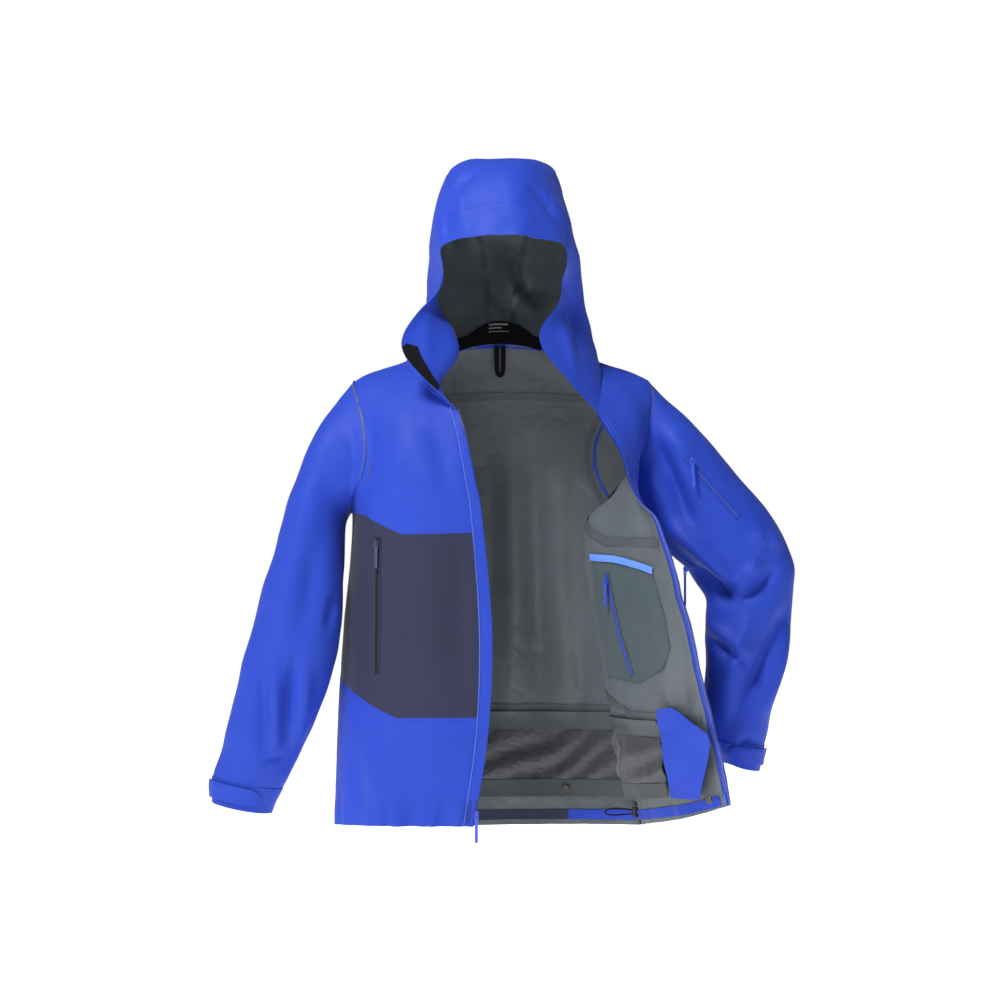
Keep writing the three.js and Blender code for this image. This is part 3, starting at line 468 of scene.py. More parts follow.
BACK_FOLDS = [
    (8, 20, [(-20, -170), (-15, -350), (-25, -600)]), (-9, 16, [(20, -180), (25, -400), (15, -620)]),
    (9, 16, [(58, -170), (62, -380), (70, -620)]), (-9, 22, [(100, -150), (98, -350), (112, -600)]),
    (-9, 18, [(-62, -160), (-60, -380), (-66, -620)]), (8, 18, [(-110, -150), (-112, -400), (-115, -640)]),
    (6, 12, [(128, -470), (135, -540), (132, -620)]),
]
HOOD_FOLDS = [
    (-6, 7, [(-38, 268), (-55, 250), (-72, 232)]), (-6, 6, [(42, 245), (70, 215), (98, 168)]),
    (-6, 6, [(-84, 200), (-84, 170), (-82, 152)]), (6, 12, [(-60, 230), (-60, 190), (-62, 160)]),
    (9, 15, [(-28, 130), (0, 80), (58, 35)]), (-10, 14, [(-2, 150), (20, 90), (60, 45)]),
    (8, 13, [(20, 120), (40, 95), (85, 92)]), (8, 14, [(30, 150), (45, 110), (62, 60)]),
    (-6, 8, [(105, 100), (118, 40), (128, -40)]), (6, 9, [(88, 60), (104, 10), (120, -60)]),
    (-4, 8, [(-112, 60), (-118, 0), (-112, -60)]),
]
RIGHT_ARM_FOLDS = [
    (-10, 14, [(-228, -120), (-220, -190), (-222, -262)]),
    (8, 24, [(-300, -210), (-320, -330), (-345, -450)]),
    (-8, 18, [(-292, -330), (-302, -420), (-318, -480)]),
    (-13, 9, [(-318, -500), (-330, -560), (-332, -640)]),
    (10, 12, [(-300, -520), (-308, -590), (-318, -640)]),
    (9, 10, [(-352, -500), (-350, -580), (-352, -650)]),
    (-8, 10, [(-374, -500), (-370, -590), (-368, -660)]),
    (-6, 6, [(-372, -668), (-352, -660), (-335, -655)]),
    (-8, 8, [(-248, -395), (-262, -425), (-268, -460)]),
]
LEFT_ARM_FOLDS = [
    (-24, 18, [(236, -150), (262, -210), (300, -300)]),
    (5, 16, [(262, -150), (285, -165), (310, -180)]),
    (18, 14, [(262, -290), (310, -330), (352, -375), (364, -398)]),
    (-21, 13, [(300, -362), (340, -398), (368, -412)]),
    (14, 10, [(364, -398), (388, -372), (412, -352)]),
    (-12, 12, [(380, -410), (405, -390), (440, -360)]),
    (-8, 6, [(425, -290), (416, -318)]),
    (12, 12, [(392, -330), (420, -310), (452, -330)]),
    (-18, 16, [(456, -420), (420, -500), (385, -570), (360, -612)]),
    (14, 18, [(466, -450), (440, -520), (410, -600)]),
    (12, 13, [(395, -430), (372, -500), (350, -560)]),
    (10, 9, [(322, -450), (370, -480), (397, -508)]),
    (-12, 8, [(325, -475), (362, -502), (397, -512)]),
    (-8, 6, [(372, -640), (390, -634), (412, -640)]),
]


def fade(distance, width):
    share = np.clip(distance / width, 0, 1)
    return share * share * (3 - 2 * share)


def body_relief(u, v, base, out):
    rise = np.zeros(len(base))
    for part, folds, size, height in ((u < SIDE_R, RIGHT_FOLDS, 0.13, 1.8 * MM),
                                      (u > SIDE_L, LEFT_FOLDS, 0.07, 4 * MM),
                                      ((u >= SIDE_R) & (u <= SIDE_L), BACK_FOLDS, 0.12, 3 * MM)):
        rise[part] = soft_folds(base[part], folds) + drape(base[part], size, height, 3.0)
    for side in (SIDE_R, SIDE_L):
        ring = np.hypot((u - side) / ARMHOLE_WIDE, (v - ARMHOLE_ROW) / ARMHOLE_HIGH)
        rise = rise * fade(np.abs(u - side), 0.25) * fade(ring - 1, 0.2)
    # The elastic cord draws the hem up into short gathers, mostly on the right front.
    gather = np.sin(u * 19 + 1.7 * np.sin(u * 7)) * np.where(u < SIDE_R, 3.2, 1.6) * MM
    return rise * fade(v, 0.25) + gather * fade(v - 5.5, 0.5) * fade(np.abs(u - SIDE_R), 0.2)


def hood_relief(u, v, base, out):
    return (soft_folds(base, HOOD_FOLDS) + drape(base, 0.06, 3 * MM, 3.0)) * fade(hood.lines - v, 0.35)


def arm_relief(folds, seed):
    def relief(u, v, base, out):
        face_front = np.clip(-out[:, 1] * 1.6, -0.3, 1)
        waves = drape(base, 0.09, 4 * MM, seed) - 2.5 * MM
        return (soft_folds(base, folds) * face_front + waves) * fade(v, 0.45)
    return relief


body.relief, hood.relief = body_relief, hood_relief
right_arm.relief, left_arm.relief = arm_relief(RIGHT_ARM_FOLDS, 5.0), arm_relief(LEFT_ARM_FOLDS, 9.0)


# ---- shell panels --------------------------------------------------------------------
# Front yokes, pocket panels, skirts and facings, and the back yoke, panel and hem panel:
# laminated shell cloth, blue or navy outside and grey inside, seamed edge to edge.
BODY_CELL = np.array((90, 90)) * MM       # about the size of one cell of each net
HOOD_CELL = np.array((80, 60)) * MM
SHELL_THICK = 0.9 * MM
SEAM_WIDTH = 2.4 * MM
SEAM_DEPTH = 0.7 * MM
PUCKER, PUCKER_WIDTH = 0.8 * MM, 13 * MM   # the cloth puckers a little beside a seam


def edge_points(outline, cell, step):
    corners = np.array(outline, float) * cell
    points = []
    for start, end in zip(corners, np.roll(corners, -1, axis=0)):
        count = max(1, round(float(np.linalg.norm(end - start)) / step))
        points += [start + (end - start) * i / count for i in range(count)]
    return np.array(points)


def edge_distance(points, edge):
    """Distance from each point to the closed line through edge."""
    nearest = np.full(len(points), np.inf)
    for start, end in zip(edge, np.roll(edge, -1, axis=0)):
        line = end - start
        share = np.clip(((points - start) @ line) / max(float(line @ line), 1e-12), 0, 1)
        nearest = np.minimum(nearest, np.linalg.norm(points - start - share[:, None] * line, axis=1))
    return nearest


def within(points, edge):
    inside = np.zeros(len(points), bool)
    for (x0, y0), (x1, y1) in zip(edge, np.roll(edge, -1, axis=0)):
        if y0 == y1:
            continue
        crosses = (points[:, 1] > y0) != (points[:, 1] > y1)
        inside ^= crosses & (points[:, 0] < (x1 - x0) * (points[:, 1] - y0) / (y1 - y0) + x0)
    return inside


def pattern_mesh(outline, cell, step):
    """Points and triangles that fill an outline, on a staggered lattice."""
    edge = edge_points(outline, cell, step)
    low, high = edge.min(0), edge.max(0)
    rows = np.arange(low[1] + step / 2, high[1], step * 0.87)
    inner = [np.stack([np.arange(low[0] + step * (0.25 + 0.5 * (i % 2)), high[0], step),
                       np.full(len(np.arange(low[0] + step * (0.25 + 0.5 * (i % 2)), high[0], step)),
                               row)], 1) for i, row in enumerate(rows)]
    inner = np.vstack(inner) if inner else np.zeros((0, 2))
    keep = within(inner, edge)
    inner = inner[keep]
    inner = inner[edge_distance(inner, edge) > 0.5 * step]
    points = np.vstack([edge, inner])
    links = [(i, (i + 1) % len(edge)) for i in range(len(edge))]
    made = geometry.delaunay_2d_cdt([Vector(p) for p in points], links, [], 1, 1e-8)
    places = np.array([p[:] for p in made[0]])
    faces = np.array([f for f in made[2] if len(f) == 3])
    a, b, c = (places[faces[:, i]] for i in range(3))
    turned = (b - a)[:, 0] * (c - a)[:, 1] - (b - a)[:, 1] * (c - a)[:, 0] < 0
    faces[turned] = faces[turned][:, ::-1]
    return places, faces, edge


def solid_sheet(name, top, out, faces, thickness, places, materials):
    """A cloth of one thickness: outer face, inner face and the walls round its edge."""
    count = len(top)
    edges = {}
    for face in faces:
        for a, b in zip(face, np.roll(face, -1)):
            edges[(int(a), int(b))] = edges.get((int(a), int(b)), 0) + 1
    rim = [(b, a, a + count, b + count) for a, b in edges if (b, a) not in edges]
    front = [tuple(int(i) for i in f) for f in faces]
    back = [tuple(int(i) + count for i in reversed(f)) for f in front]
    mesh = bpy.data.meshes.new(name)
    mesh.from_pydata(np.vstack([top, top - out * thickness]).tolist(), [], front + back + rim)
    for material in materials:
        mesh.materials.append(material)
    last = len(materials) - 1
    kinds = np.array([0] * len(front) + [min(1, last)] * len(back) + [0] * len(rim), np.int32)
    mesh.polygons.foreach_set("material_index", kinds)
    mesh.polygons.foreach_set("use_smooth", np.ones(len(mesh.polygons), bool))
    layer = mesh.uv_layers.new(name="cloth")
    corner = np.zeros(len(mesh.loops), np.int32)
    mesh.loops.foreach_get("vertex_index", corner)
    layer.data.foreach_set("uv", places[corner % count].astype(np.float32).ravel())
    mesh.update()
    mesh.set_sharp_from_angle(angle=math.radians(55))
    return add_object(name, mesh)


def flat_area(points, faces):
    a, b, c = (points[faces[:, i]] for i in range(3))
    return float(np.linalg.norm(np.cross(b - a, c - a), axis=1).sum() / 2)


TRIMS = {}           # tapes, bindings and rows of stitches, by the cloth piece they are sewn to


def cut_size(cloth, low, high, area):
    """Width and length of the rectangle that a panel was cut from, on the unfolded cloth."""
    middle = (low + high) / 2
    steps = np.linspace(0, 1, 40)
    across = cloth.at(low[0] + (high[0] - low[0]) * steps, np.full(40, middle[1]))
    down = cloth.at(np.full(40, middle[0]), low[1] + (high[1] - low[1]) * steps)
    width, length = (float(np.linalg.norm(np.diff(p, axis=0), axis=1).sum()) for p in (across, down))
    scale = math.sqrt(max(1.0, area / (width * length)))
    return width * scale, length * scale


def cloth_panel(name, cloth, cell, outline, on_body, *, node=None, height=0.0, thickness=SHELL_THICK,
                materials=(), step=0.007, seam=SEAM_DEPTH, bend=None, shape=None):
    """A panel cut to an outline on a surface, at a height above it; shape adds relief of its own."""
    places, faces, edge = pattern_mesh(outline, cell, step)
    u, v = places[:, 0] / cell[0], places[:, 1] / cell[1]
    if not cloth.closed:
        u = np.clip(u, 0, cloth.columns)
    v = np.clip(v, 0, cloth.lines)
    base, out = cloth.at(u, v), cloth.out(u, v)
    rise = cloth.relief(u, v, base, out) + height
    if shape is not None:
        rise = rise + shape(u, v, base)
    if seam:
        gap = edge_distance(places, edge)
        rise = rise - seam * np.exp(-((gap / SEAM_WIDTH) ** 2))
        rise = rise + drape(base, 0.02, PUCKER, 7.0) * np.exp(-((gap / PUCKER_WIDTH) ** 2))
    top = base + out * rise[:, None]
    piece = solid_sheet(name, top, out, faces, thickness, places, materials)
    finish_cloth(piece, on_body, node, bend)
    flat = flat_area(base, faces) if shape is None else flat_area(top, faces)
    width, length = cut_size(cloth, edge.min(0) / cell, edge.max(0) / cell, flat)
    return piece


def finish_cloth(piece, on_body, node, bend):
    if bend:
        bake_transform(piece)
    else:
        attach(piece, on_body)
    if node:
        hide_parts(node)


SPAN = body.columns
PLACKET = 0.2
YOKE_ROW = 1.25


def armhole_side(side, towards, reversed_=False, steps=28):
    angles = -math.pi / 2 + np.arange(steps + 1) / steps * math.pi
    points = [(side + towards * ARMHOLE_WIDE * math.cos(a), ARMHOLE_ROW + ARMHOLE_HIGH * math.sin(a))
              for a in angles]
    return points[::-1] if reversed_ else points


HEM = 6
FRONT_SHAPES = {
    "front_placket": ([(0, 0), (PLACKET, 0), (PLACKET, HEM), (0, HEM)], shell_blue),
    "front_yoke": ([(PLACKET, 0), (SIDE_R, 0), *armhole_side(SIDE_R, -1), (2.1, 2.95),
                    (1.41, 3.17), (PLACKET, 3.16)], shell_blue),
    "pocket_panel": ([(PLACKET, 3.16), (1.41, 3.17), (2.1, 2.95), (SIDE_R, 2.9), (SIDE_R, 4.4),
                      (2.85, 4.47), (1.5, 4.86), (PLACKET, 4.86)], shell_navy),
    "front_skirt": ([(PLACKET, 4.86), (1.5, 4.86), (2.85, 4.47), (SIDE_R, 4.4), (SIDE_R, HEM),
                     (PLACKET, HEM)], shell_blue),
}
for title, (outline, cloth) in FRONT_SHAPES.items():
    for side in ("right", "left"):
        shape = outline if side == "right" else [(SPAN - u, v) for u, v in outline]
        cloth_panel(f"{side}_{title}_cloth", body, BODY_CELL, shape, "shell", node=f"{side}_{title}",
                    materials=(cloth, backer))

yoke_end = ARMHOLE_WIDE * math.sin(math.acos((YOKE_ROW - ARMHOLE_ROW) / -ARMHOLE_HIGH))
right_back, left_back = armhole_side(SIDE_R, 1, True), armhole_side(SIDE_L, -1)
HEM_PANEL = [(4.1, HEM), (4.2, 5.15), (5.8, 5.15), (5.9, HEM)]
BACK_SHAPES = {
    "back_yoke": ([(SIDE_R, 0), (SIDE_L, 0), *[p for p in left_back if p[1] < YOKE_ROW],
                   (SIDE_L - yoke_end, YOKE_ROW), (SIDE_R + yoke_end, YOKE_ROW),
                   *[p for p in right_back if p[1] < YOKE_ROW]], shell_blue),
    "back_panel": ([(SIDE_R + yoke_end, YOKE_ROW), (SIDE_L - yoke_end, YOKE_ROW),
                    *[p for p in left_back if p[1] > YOKE_ROW], (SIDE_L, HEM), *HEM_PANEL[::-1],
                    (SIDE_R, HEM), *[p for p in right_back if p[1] > YOKE_ROW]], shell_blue),
    "back_hem_panel": (HEM_PANEL, shell_navy),
}
for title, (outline, cloth) in BACK_SHAPES.items():
    cloth_panel(f"{title}_cloth", body, BODY_CELL, outline, "shell", node=title,
                materials=(cloth, backer))

# ---- hood ----------------------------------------------------------------------------
# Crown, brim and two sides of the same shell cloth, sewn to the body at the neck seam.
# The right collar rolls open and shows its blue inner facing.
HOOD_BEND = ("shell", "hood", (0, -0.090, -0.055), (0, -0.141, 0.031))
HOOD_SHAPES = {
    "hood_crown": [(3.6, 0.5), (6.4, 0.5), (6.2, 3), (5.7, 5), (4.3, 5), (3.8, 3)],
    "hood_brim": [(2.7, 0), (7.3, 0), (7.2, 0.5), (2.8, 0.5)],
    "hood_right_side": [(0, 0), (2.7, 0), (2.8, 0.5), (3.6, 0.5), (3.8, 3), (4.3, 5), (0, 5)],
}
HOOD_SHAPES["hood_left_side"] = [(10 - u, v) for u, v in HOOD_SHAPES["hood_right_side"]]
for title, outline in HOOD_SHAPES.items():
    cloth_panel(f"{title}_cloth", hood, HOOD_CELL, outline, "hood", node=title,
                materials=(shell_blue, backer), step=0.006, bend=HOOD_BEND)
cloth_panel("collar_facing", hood, HOOD_CELL, [(0.02, 0.0), (2.3, 0.0), (2.3, 0.8), (1.9, 1.15),
            (0.02, 1.15)], "hood", height=-1.4 * MM, materials=(shell_blue,), step=0.006, bend=HOOD_BEND, seam=0)
cloth_panel("chin_guard_cloth", hood, HOOD_CELL, [(0.3, 0.0), (0.98, 0.0), (1.04, 0.08), (1.0, 0.24),
            (0.3, 0.34)], "hood", node="chin_guard", height=-2.6 * MM, thickness=0.8 * MM, materials=(black_cloth,), step=0.003,
            bend=HOOD_BEND, seam=0)
PATCH_FROM, PATCH_TO = 1.9, 8.1
patch_arch = [(PATCH_FROM + (PATCH_TO - PATCH_FROM) * s, 4.96 - 0.19 * math.sin(math.pi * s) ** 0.35)
              for s in np.linspace(0, 1, 25)]
cloth_panel("neck_patch_cloth", hood, HOOD_CELL, [(PATCH_TO, 4.97), (PATCH_FROM, 4.97), *patch_arch],
            "hood", node="neck_patch", height=-2.4 * MM, thickness=0.8 * MM, materials=(black_cloth,), step=0.004, bend=HOOD_BEND, seam=0)


# ---- sleeves -------------------------------------------------------------------------
# Each sleeve is a tube of shell cloth from the armhole to the cuff. The cloth creases
# at the elbow.
HEAD_ROWS = 0.3              # rows of a sleeve over which its head settles onto the body


def to_armhole(arm, side, u, v):
    """The move that brings a sleeve's head onto the edge of the body's armhole."""
    around = u / arm.columns * 2 * np.pi
    edge = body.skin(side + ARMHOLE_WIDE * np.cos(around),
                     ARMHOLE_ROW + ARMHOLE_HIGH * np.sin(around), 0.0)
    return (edge - arm.skin(u, np.zeros_like(u), 0.0)) * np.clip(1 - v / HEAD_ROWS, 0, 1)[:, None]


def cloth_tube(name, cloth, start, end, on_body, *, node=None, height=0.0, thickness=SHELL_THICK,
               materials=(), around=150, step=0.006, bend=None, sewn_on=None):
    """A tube of cloth between two rows of a closed surface, its head moved by sewn_on."""
    middle = cloth.at(np.zeros(2) + 3, np.array([start, end]))
    rows = max(4, int(np.linalg.norm(middle[1] - middle[0]) * 1.3 / step))
    u = np.tile(np.arange(around) * cloth.columns / around, rows + 1)
    v = np.repeat(np.linspace(start, end, rows + 1), around)
    index = np.arange(rows * around).reshape(rows, around)
    after = np.roll(index, -1, axis=1)
    faces = np.stack([index, after, after + around, index + around], -1).reshape(-1, 4)
    girth_line = cloth.at(np.linspace(0, cloth.columns, 60), np.full(60, (start + end) / 2))
    girth = float(np.linalg.norm(np.diff(girth_line, axis=0), axis=1).sum())
    places = np.stack([u / cloth.columns * girth, v * BODY_CELL[1]], 1)
    skin = cloth.skin(u, v, height)
    if sewn_on is not None:
        skin += to_armhole(cloth, sewn_on, u, v)
    piece = solid_sheet(name, skin, cloth.out(u, v), faces, thickness, places, materials)
    finish_cloth(piece, on_body, node, bend)
    area = flat_area(cloth.at(u, v), np.vstack([faces[:, :3], faces[:, [0, 2, 3]]]))
    return piece


RIGHT_BEND = ("shell", "right_arm", (-0.246, -0.082, -0.274), (-0.3324, -0.082, -0.3568))
LEFT_BEND = ("shell", "left_arm", (0.246, -0.075, -0.268), (0.3324, -0.075, -0.3508))
SEAM_ALLOWANCE = 0.05       # rows of cloth turned in at the armhole
ARMS = {"right": (right_arm, RIGHT_BEND, 6.85, SIDE_R), "left": (left_arm, LEFT_BEND, 8.85, SIDE_L)}
for side, (cloth, bend, cuff_row, column) in ARMS.items():
    cloth_tube(f"{side}_sleeve_cloth", cloth, -SEAM_ALLOWANCE, cuff_row + 0.02, f"{side}_arm",
               node=f"{side}_sleeve", materials=(shell_blue, backer), bend=bend, sewn_on=column)

# ---- cuffs and tabs ------------------------------------------------------------------
# A doubled cuff ends each sleeve, and a stiff tab wraps round it from the outer side.
TABS = {
    "right": (right_arm, 6.85, [(9, 6.95), (9, 7.7), (5.6, 7.7), (5.1, 7.6), (4.9, 7.35),
                                (5.2, 7.1), (5.6, 6.95)]),
    "left": (left_arm, 8.85, [(-3, 8.95), (-3, 9.7), (0.5, 9.7), (0.9, 9.6), (1.1, 9.35),
                              (0.8, 9.1), (0.5, 8.95)]),
}
TAB_CELL = np.array((26, 45)) * MM
for side, (cloth, cuff_row, outline) in TABS.items():
    cloth_tube(f"{side}_cuff_cloth", cloth, cuff_row, cloth.lines, f"{side}_arm",
               node=f"{side}_cuff", height=1.2 * MM, thickness=1.8 * MM,
               materials=(shell_blue, backer), step=0.004)
    cloth_panel(f"{side}_cuff_tab_cloth", cloth, TAB_CELL, outline, f"{side}_tab",
                node=f"{side}_cuff_tab", height=5.2 * MM, thickness=1.8 * MM,
                materials=(shell_blue,), step=0.003, seam=0.3 * MM)

# ---- hem cord ------------------------------------------------------------------------
# Elastic shock cord: a short loop of it comes out of the hem through a push-button lock.
CORD_THICK = 2.6 * MM
LOCK_RADIUS = 6.0 * MM
lock_place = body.lift(7.62, 5.86, -9.8 * MM)[0]
CORD_ROUTE = [(0, 3), (12, 5), (26, 6), (38, 4), (42, 0), (38, -4), (26, -5), (12, -4), (0, -3)]


def smooth_line(points, steps):
    """A smooth line through points."""
    points = np.array(points, float)
    places = np.linspace(0, len(points) - 1, (len(points) - 1) * steps + 1)
    return spline_shares(places, len(points), False) @ points


cord_line = smooth_line([lock_place + np.array((-(LOCK_RADIUS + 0.4 * MM + x * MM), 0, z * MM))
                         for x, z in CORD_ROUTE], 6)
cord_curve = bpy.data.curves.new("hem_cord_loop", "CURVE")
cord_curve.dimensions = "3D"
cord_curve.bevel_depth = CORD_THICK / 2
cord_curve.bevel_resolution = 3
cord_curve.use_fill_caps = True
cord_spline = cord_curve.splines.new("POLY")
cord_spline.points.add(len(cord_line) - 1)
cord_spline.points.foreach_set("co", np.hstack([cord_line, np.ones((len(cord_line), 1))]).ravel())
cord_curve.materials.append(black_cloth)
cord_loop = add_object("hem_cord_loop", cord_curve)
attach(cord_loop, "shell")
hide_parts("hem_cord")


# ---- powder skirt --------------------------------------------------------------------
# A gathered taffeta skirt sewn inside above the hem, with a flat strip at its seam and an
# elastic band at its lower edge. Its left end is a blue flap with two press studs.
SKIRT_TOP, SKIRT_PLAIN, SKIRT_BAND, SKIRT_END = 4.87, 5.04, 5.54, 5.71
SKIRT_FROM, SKIRT_TO = 1.2, 8.93


def skirt_stand(u, v, base):
    """The skirt stands off the shell towards its band."""
    return -(6 + 10 * fade(v - SKIRT_TOP, SKIRT_BAND - SKIRT_TOP)) * MM


def skirt_gathers(u, v, base):
    """Gathers that run in from the elastic, crossed by slack diagonal creases."""
    slack = fade(v - SKIRT_PLAIN, 0.1) * fade(SKIRT_BAND + 0.02 - v, 0.1)
    fine = np.sin(u * 34 + 1.4 * np.sin(u * 9)) * (1 - slack * 0.4)
    slant = np.sin((v - SKIRT_PLAIN) * 22 + u * 9 + 1.3 * np.sin(u * 4.1))
    return skirt_stand(u, v, base) + slack * (1.4 * fine + 3.2 * slant) * MM


cloth_panel("skirt_taffeta_cloth", body, BODY_CELL,
            [(SKIRT_FROM, SKIRT_PLAIN), (SKIRT_TO, SKIRT_PLAIN), (SKIRT_TO, SKIRT_BAND),
             (SKIRT_FROM, SKIRT_BAND)], "shell", node="powder_skirt", thickness=0.5 * MM,
            materials=(taffeta,), step=0.0055, seam=0, shape=skirt_gathers)
cloth_panel("skirt_plain_strip", body, BODY_CELL,
            [(SKIRT_FROM, SKIRT_TOP), (SKIRT_TO, SKIRT_TOP), (SKIRT_TO, SKIRT_PLAIN),
             (SKIRT_FROM, SKIRT_PLAIN)], "shell", thickness=0.9 * MM, materials=(tape_grey,),
            seam=0.8 * MM, shape=skirt_stand)
cloth_panel("skirt_band_elastic", body, BODY_CELL,
            [(SKIRT_FROM, SKIRT_BAND), (SKIRT_TO, SKIRT_BAND), (SKIRT_TO, SKIRT_END),
             (SKIRT_FROM, SKIRT_END)], "shell", node="powder_skirt_band", thickness=1.6 * MM,
            materials=(elastic,), step=0.005, seam=0.6 * MM, shape=skirt_stand)
FLAP_SHAPE = [(9.08, 4.75), (9.36, 4.72), (9.95, 4.95), (9.97, 5.03), (9.5, 5.8), (8.96, 5.72),
              (9.02, 4.9)]
cloth_panel("skirt_flap_cloth", body, BODY_CELL, FLAP_SHAPE, "flap", node="skirt_flap",
            height=-14 * MM, thickness=1.4 * MM, materials=(shell_blue,), step=0.004,
            seam=0.5 * MM)

# ---- inner pocket --------------------------------------------------------------------
# A stretch pocket on the inside of the left front, bound in light blue along its top.
POCKET_SHAPE = [(8.32, 3.38), (9.42, 3.48), (9.5, 3.84), (9.48, 4.2), (9.26, 4.38), (8.74, 4.53),
                (8.18, 4.49), (8.24, 3.76)]


def pocket_fold(u, v, base):
    """One soft fold runs down the pocket near its front edge."""
    line = 9.25 - 0.05 * (v - 3.75)
    return (-2.5 - 2.2 * np.exp(-(((u - line) / 0.07) ** 2)) * fade(v - 3.6, 0.3)) * MM


cloth_panel("inner_pocket_cloth", body, BODY_CELL, POCKET_SHAPE, "shell", node="inner_pocket",
            thickness=0.8 * MM, materials=(pocket_cloth,), step=0.004, seam=-1.2 * MM,
            shape=pocket_fold)


# ---- tapes and bindings --------------------------------------------------------------
# Narrow strips that follow the cloth: seam tape welded over each seam inside, the pocket
# binding, the hanger loop and the zips' tapes.
def surface_line(cloth, path, height, step=0.004):
    """Places along a path of (u, v) corners on a folded cloth, with its own outward lines."""
    path = np.array(path, float)
    corners = cloth.at(path[:, 0], path[:, 1])
    rows = [np.linspace(a, b, max(2, round(float(np.linalg.norm(d)) / step)), endpoint=False)
            for a, b, d in zip(path[:-1], path[1:], np.diff(corners, axis=0))]
    places = np.vstack([*rows, path[-1:]])
    return cloth.skin(places[:, 0], places[:, 1], height), cloth.out(places[:, 0], places[:, 1])


def strip(name, cloth, path, width, height, on_body, material, *, sewn_to=None, thickness=0.35 * MM,
          bend=None, node=None, bow=0.0, line=None):
    """A narrow tape along a path; bow raises its middle."""
    middle, out = surface_line(cloth, path, height) if line is None else line
    along = np.gradient(middle, axis=0)
    across = np.cross(out, along)
    across /= np.linalg.norm(across, axis=1, keepdims=True)
    shares = np.array((-1, -0.6, -0.2, 0.2, 0.6, 1))
    top = (middle[:, None] + across[:, None] * (shares * width / 2)[None, :, None]
           + out[:, None] * (bow * (1 - shares**2))[None, :, None])
    run = np.concatenate([[0], np.cumsum(np.linalg.norm(np.diff(middle, axis=0), axis=1))])
    places = np.stack(np.broadcast_arrays((shares * width / 2)[None], run[:, None]), -1)
    count, lanes = len(middle), len(shares)
    index = np.arange(count * lanes).reshape(count, lanes)
    faces = np.stack([index[:-1, :-1], index[:-1, 1:], index[1:, 1:], index[1:, :-1]], -1)
    faces = faces.reshape(-1, 4)[:, ::-1]
    piece = solid_sheet(name, top.reshape(-1, 3), np.repeat(out, lanes, axis=0), faces, thickness,
                        places.reshape(-1, 2), (material,))
    finish_cloth(piece, on_body, node, bend)
    if sewn_to:
        TRIMS.setdefault(sewn_to, []).append(piece)
    return piece


INSIDE = -SHELL_THICK - 1.2 * MM         # clear of the grooves and puckers beside a seam
TAPE_WIDE = 13 * MM
SEAM_PATHS = {
    "yoke": [(SIDE_R + yoke_end + 0.1, YOKE_ROW), (SIDE_L - yoke_end - 0.1, YOKE_ROW)],
    "left_side": [(SIDE_L, 2.95), (SIDE_L, HEM)], "right_side": [(SIDE_R, 2.95), (SIDE_R, HEM)],
    "left_chest": [(SIDE_L + 0.02, 2.9), (7.9, 2.95), (8.59, 3.17), (9.8, 3.16)],
    "left_skirt": [(SIDE_L + 0.02, 4.4), (7.15, 4.47), (8.5, 4.84), (9.8, 4.84)],
    "waist": [(SIDE_R, 4.84), (SIDE_L, 4.84)],
}
SEWN_TO = {"yoke": "back_panel_cloth", "left_side": "left_front_skirt_cloth",
           "right_side": "right_front_skirt_cloth", "left_chest": "left_pocket_panel_cloth",
           "left_skirt": "left_front_skirt_cloth", "waist": "back_panel_cloth"}
for title, path in SEAM_PATHS.items():
    strip(f"{title}_seam_tape", body, path, TAPE_WIDE, INSIDE, "shell", tape_grey,
          sewn_to=SEWN_TO[title])
SEAM_COVER = 8 * MM          # the turned-in cloth that closes an armhole seam or the neck seam
strip("neck_seam", body, [(u, 0.02) for u in np.linspace(0.2, 9.8, 60)], SEAM_COVER, -1 * MM,
      "shell", shell_blue, sewn_to="back_yoke_cloth")
strip("neck_seam_tape", hood, [(u, 4.93) for u in np.linspace(1.7, 8.3, 40)], 22 * MM,
      INSIDE - 0.6 * MM, "hood", black_cloth, sewn_to="neck_patch_cloth", bend=HOOD_BEND)
for side, column in (("right", SIDE_R), ("left", SIDE_L)):
    turn = np.linspace(0, 2 * math.pi, 41)
    ring = [(column + ARMHOLE_WIDE * 1.1 * math.cos(a), ARMHOLE_ROW + ARMHOLE_HIGH * 1.1 * math.sin(a))
            for a in turn]
    seam_ring = [(column + ARMHOLE_WIDE * math.cos(a), ARMHOLE_ROW + ARMHOLE_HIGH * math.sin(a))
                 for a in turn]
    strip(f"{side}_armhole_seam", body, seam_ring, SEAM_COVER, -0.9 * MM, "shell", shell_blue,
          sewn_to=f"{side}_front_yoke_cloth")
    strip(f"{side}_armhole_tape", body, ring, 9 * MM, INSIDE, "shell", tape_grey,
          sewn_to=f"{side}_front_yoke_cloth")
HOOD_SEAMS = {"left": [(6.4, 0.5), (6.2, 3), (5.75, 4.9)], "right": [(3.6, 0.5), (3.8, 3), (4.25, 4.9)]}
for side, path in HOOD_SEAMS.items():
    strip(f"hood_{side}_seam_tape", hood, path, TAPE_WIDE * 0.7, INSIDE, "hood", tape_grey,
          sewn_to=f"hood_{side}_side_cloth", bend=HOOD_BEND)
strip("pocket_binding", body, [(8.29, 3.35), (8.7, 3.36), (9.1, 3.41), (9.48, 3.47)], 11 * MM,
      -2.4 * MM, "shell", light_blue, sewn_to="inner_pocket_cloth", thickness=1.4 * MM,
      node="inner_pocket_binding", bow=-1 * MM)
HEM_TURN = {"navy": (HEM_PANEL[0][0], HEM_PANEL[-1][0], shell_navy, "shell_navy"),
            "left": (HEM_PANEL[-1][0], 9.8, shell_blue, "shell_blue"),
            "right": (0.2, HEM_PANEL[0][0], shell_blue, "shell_blue")}
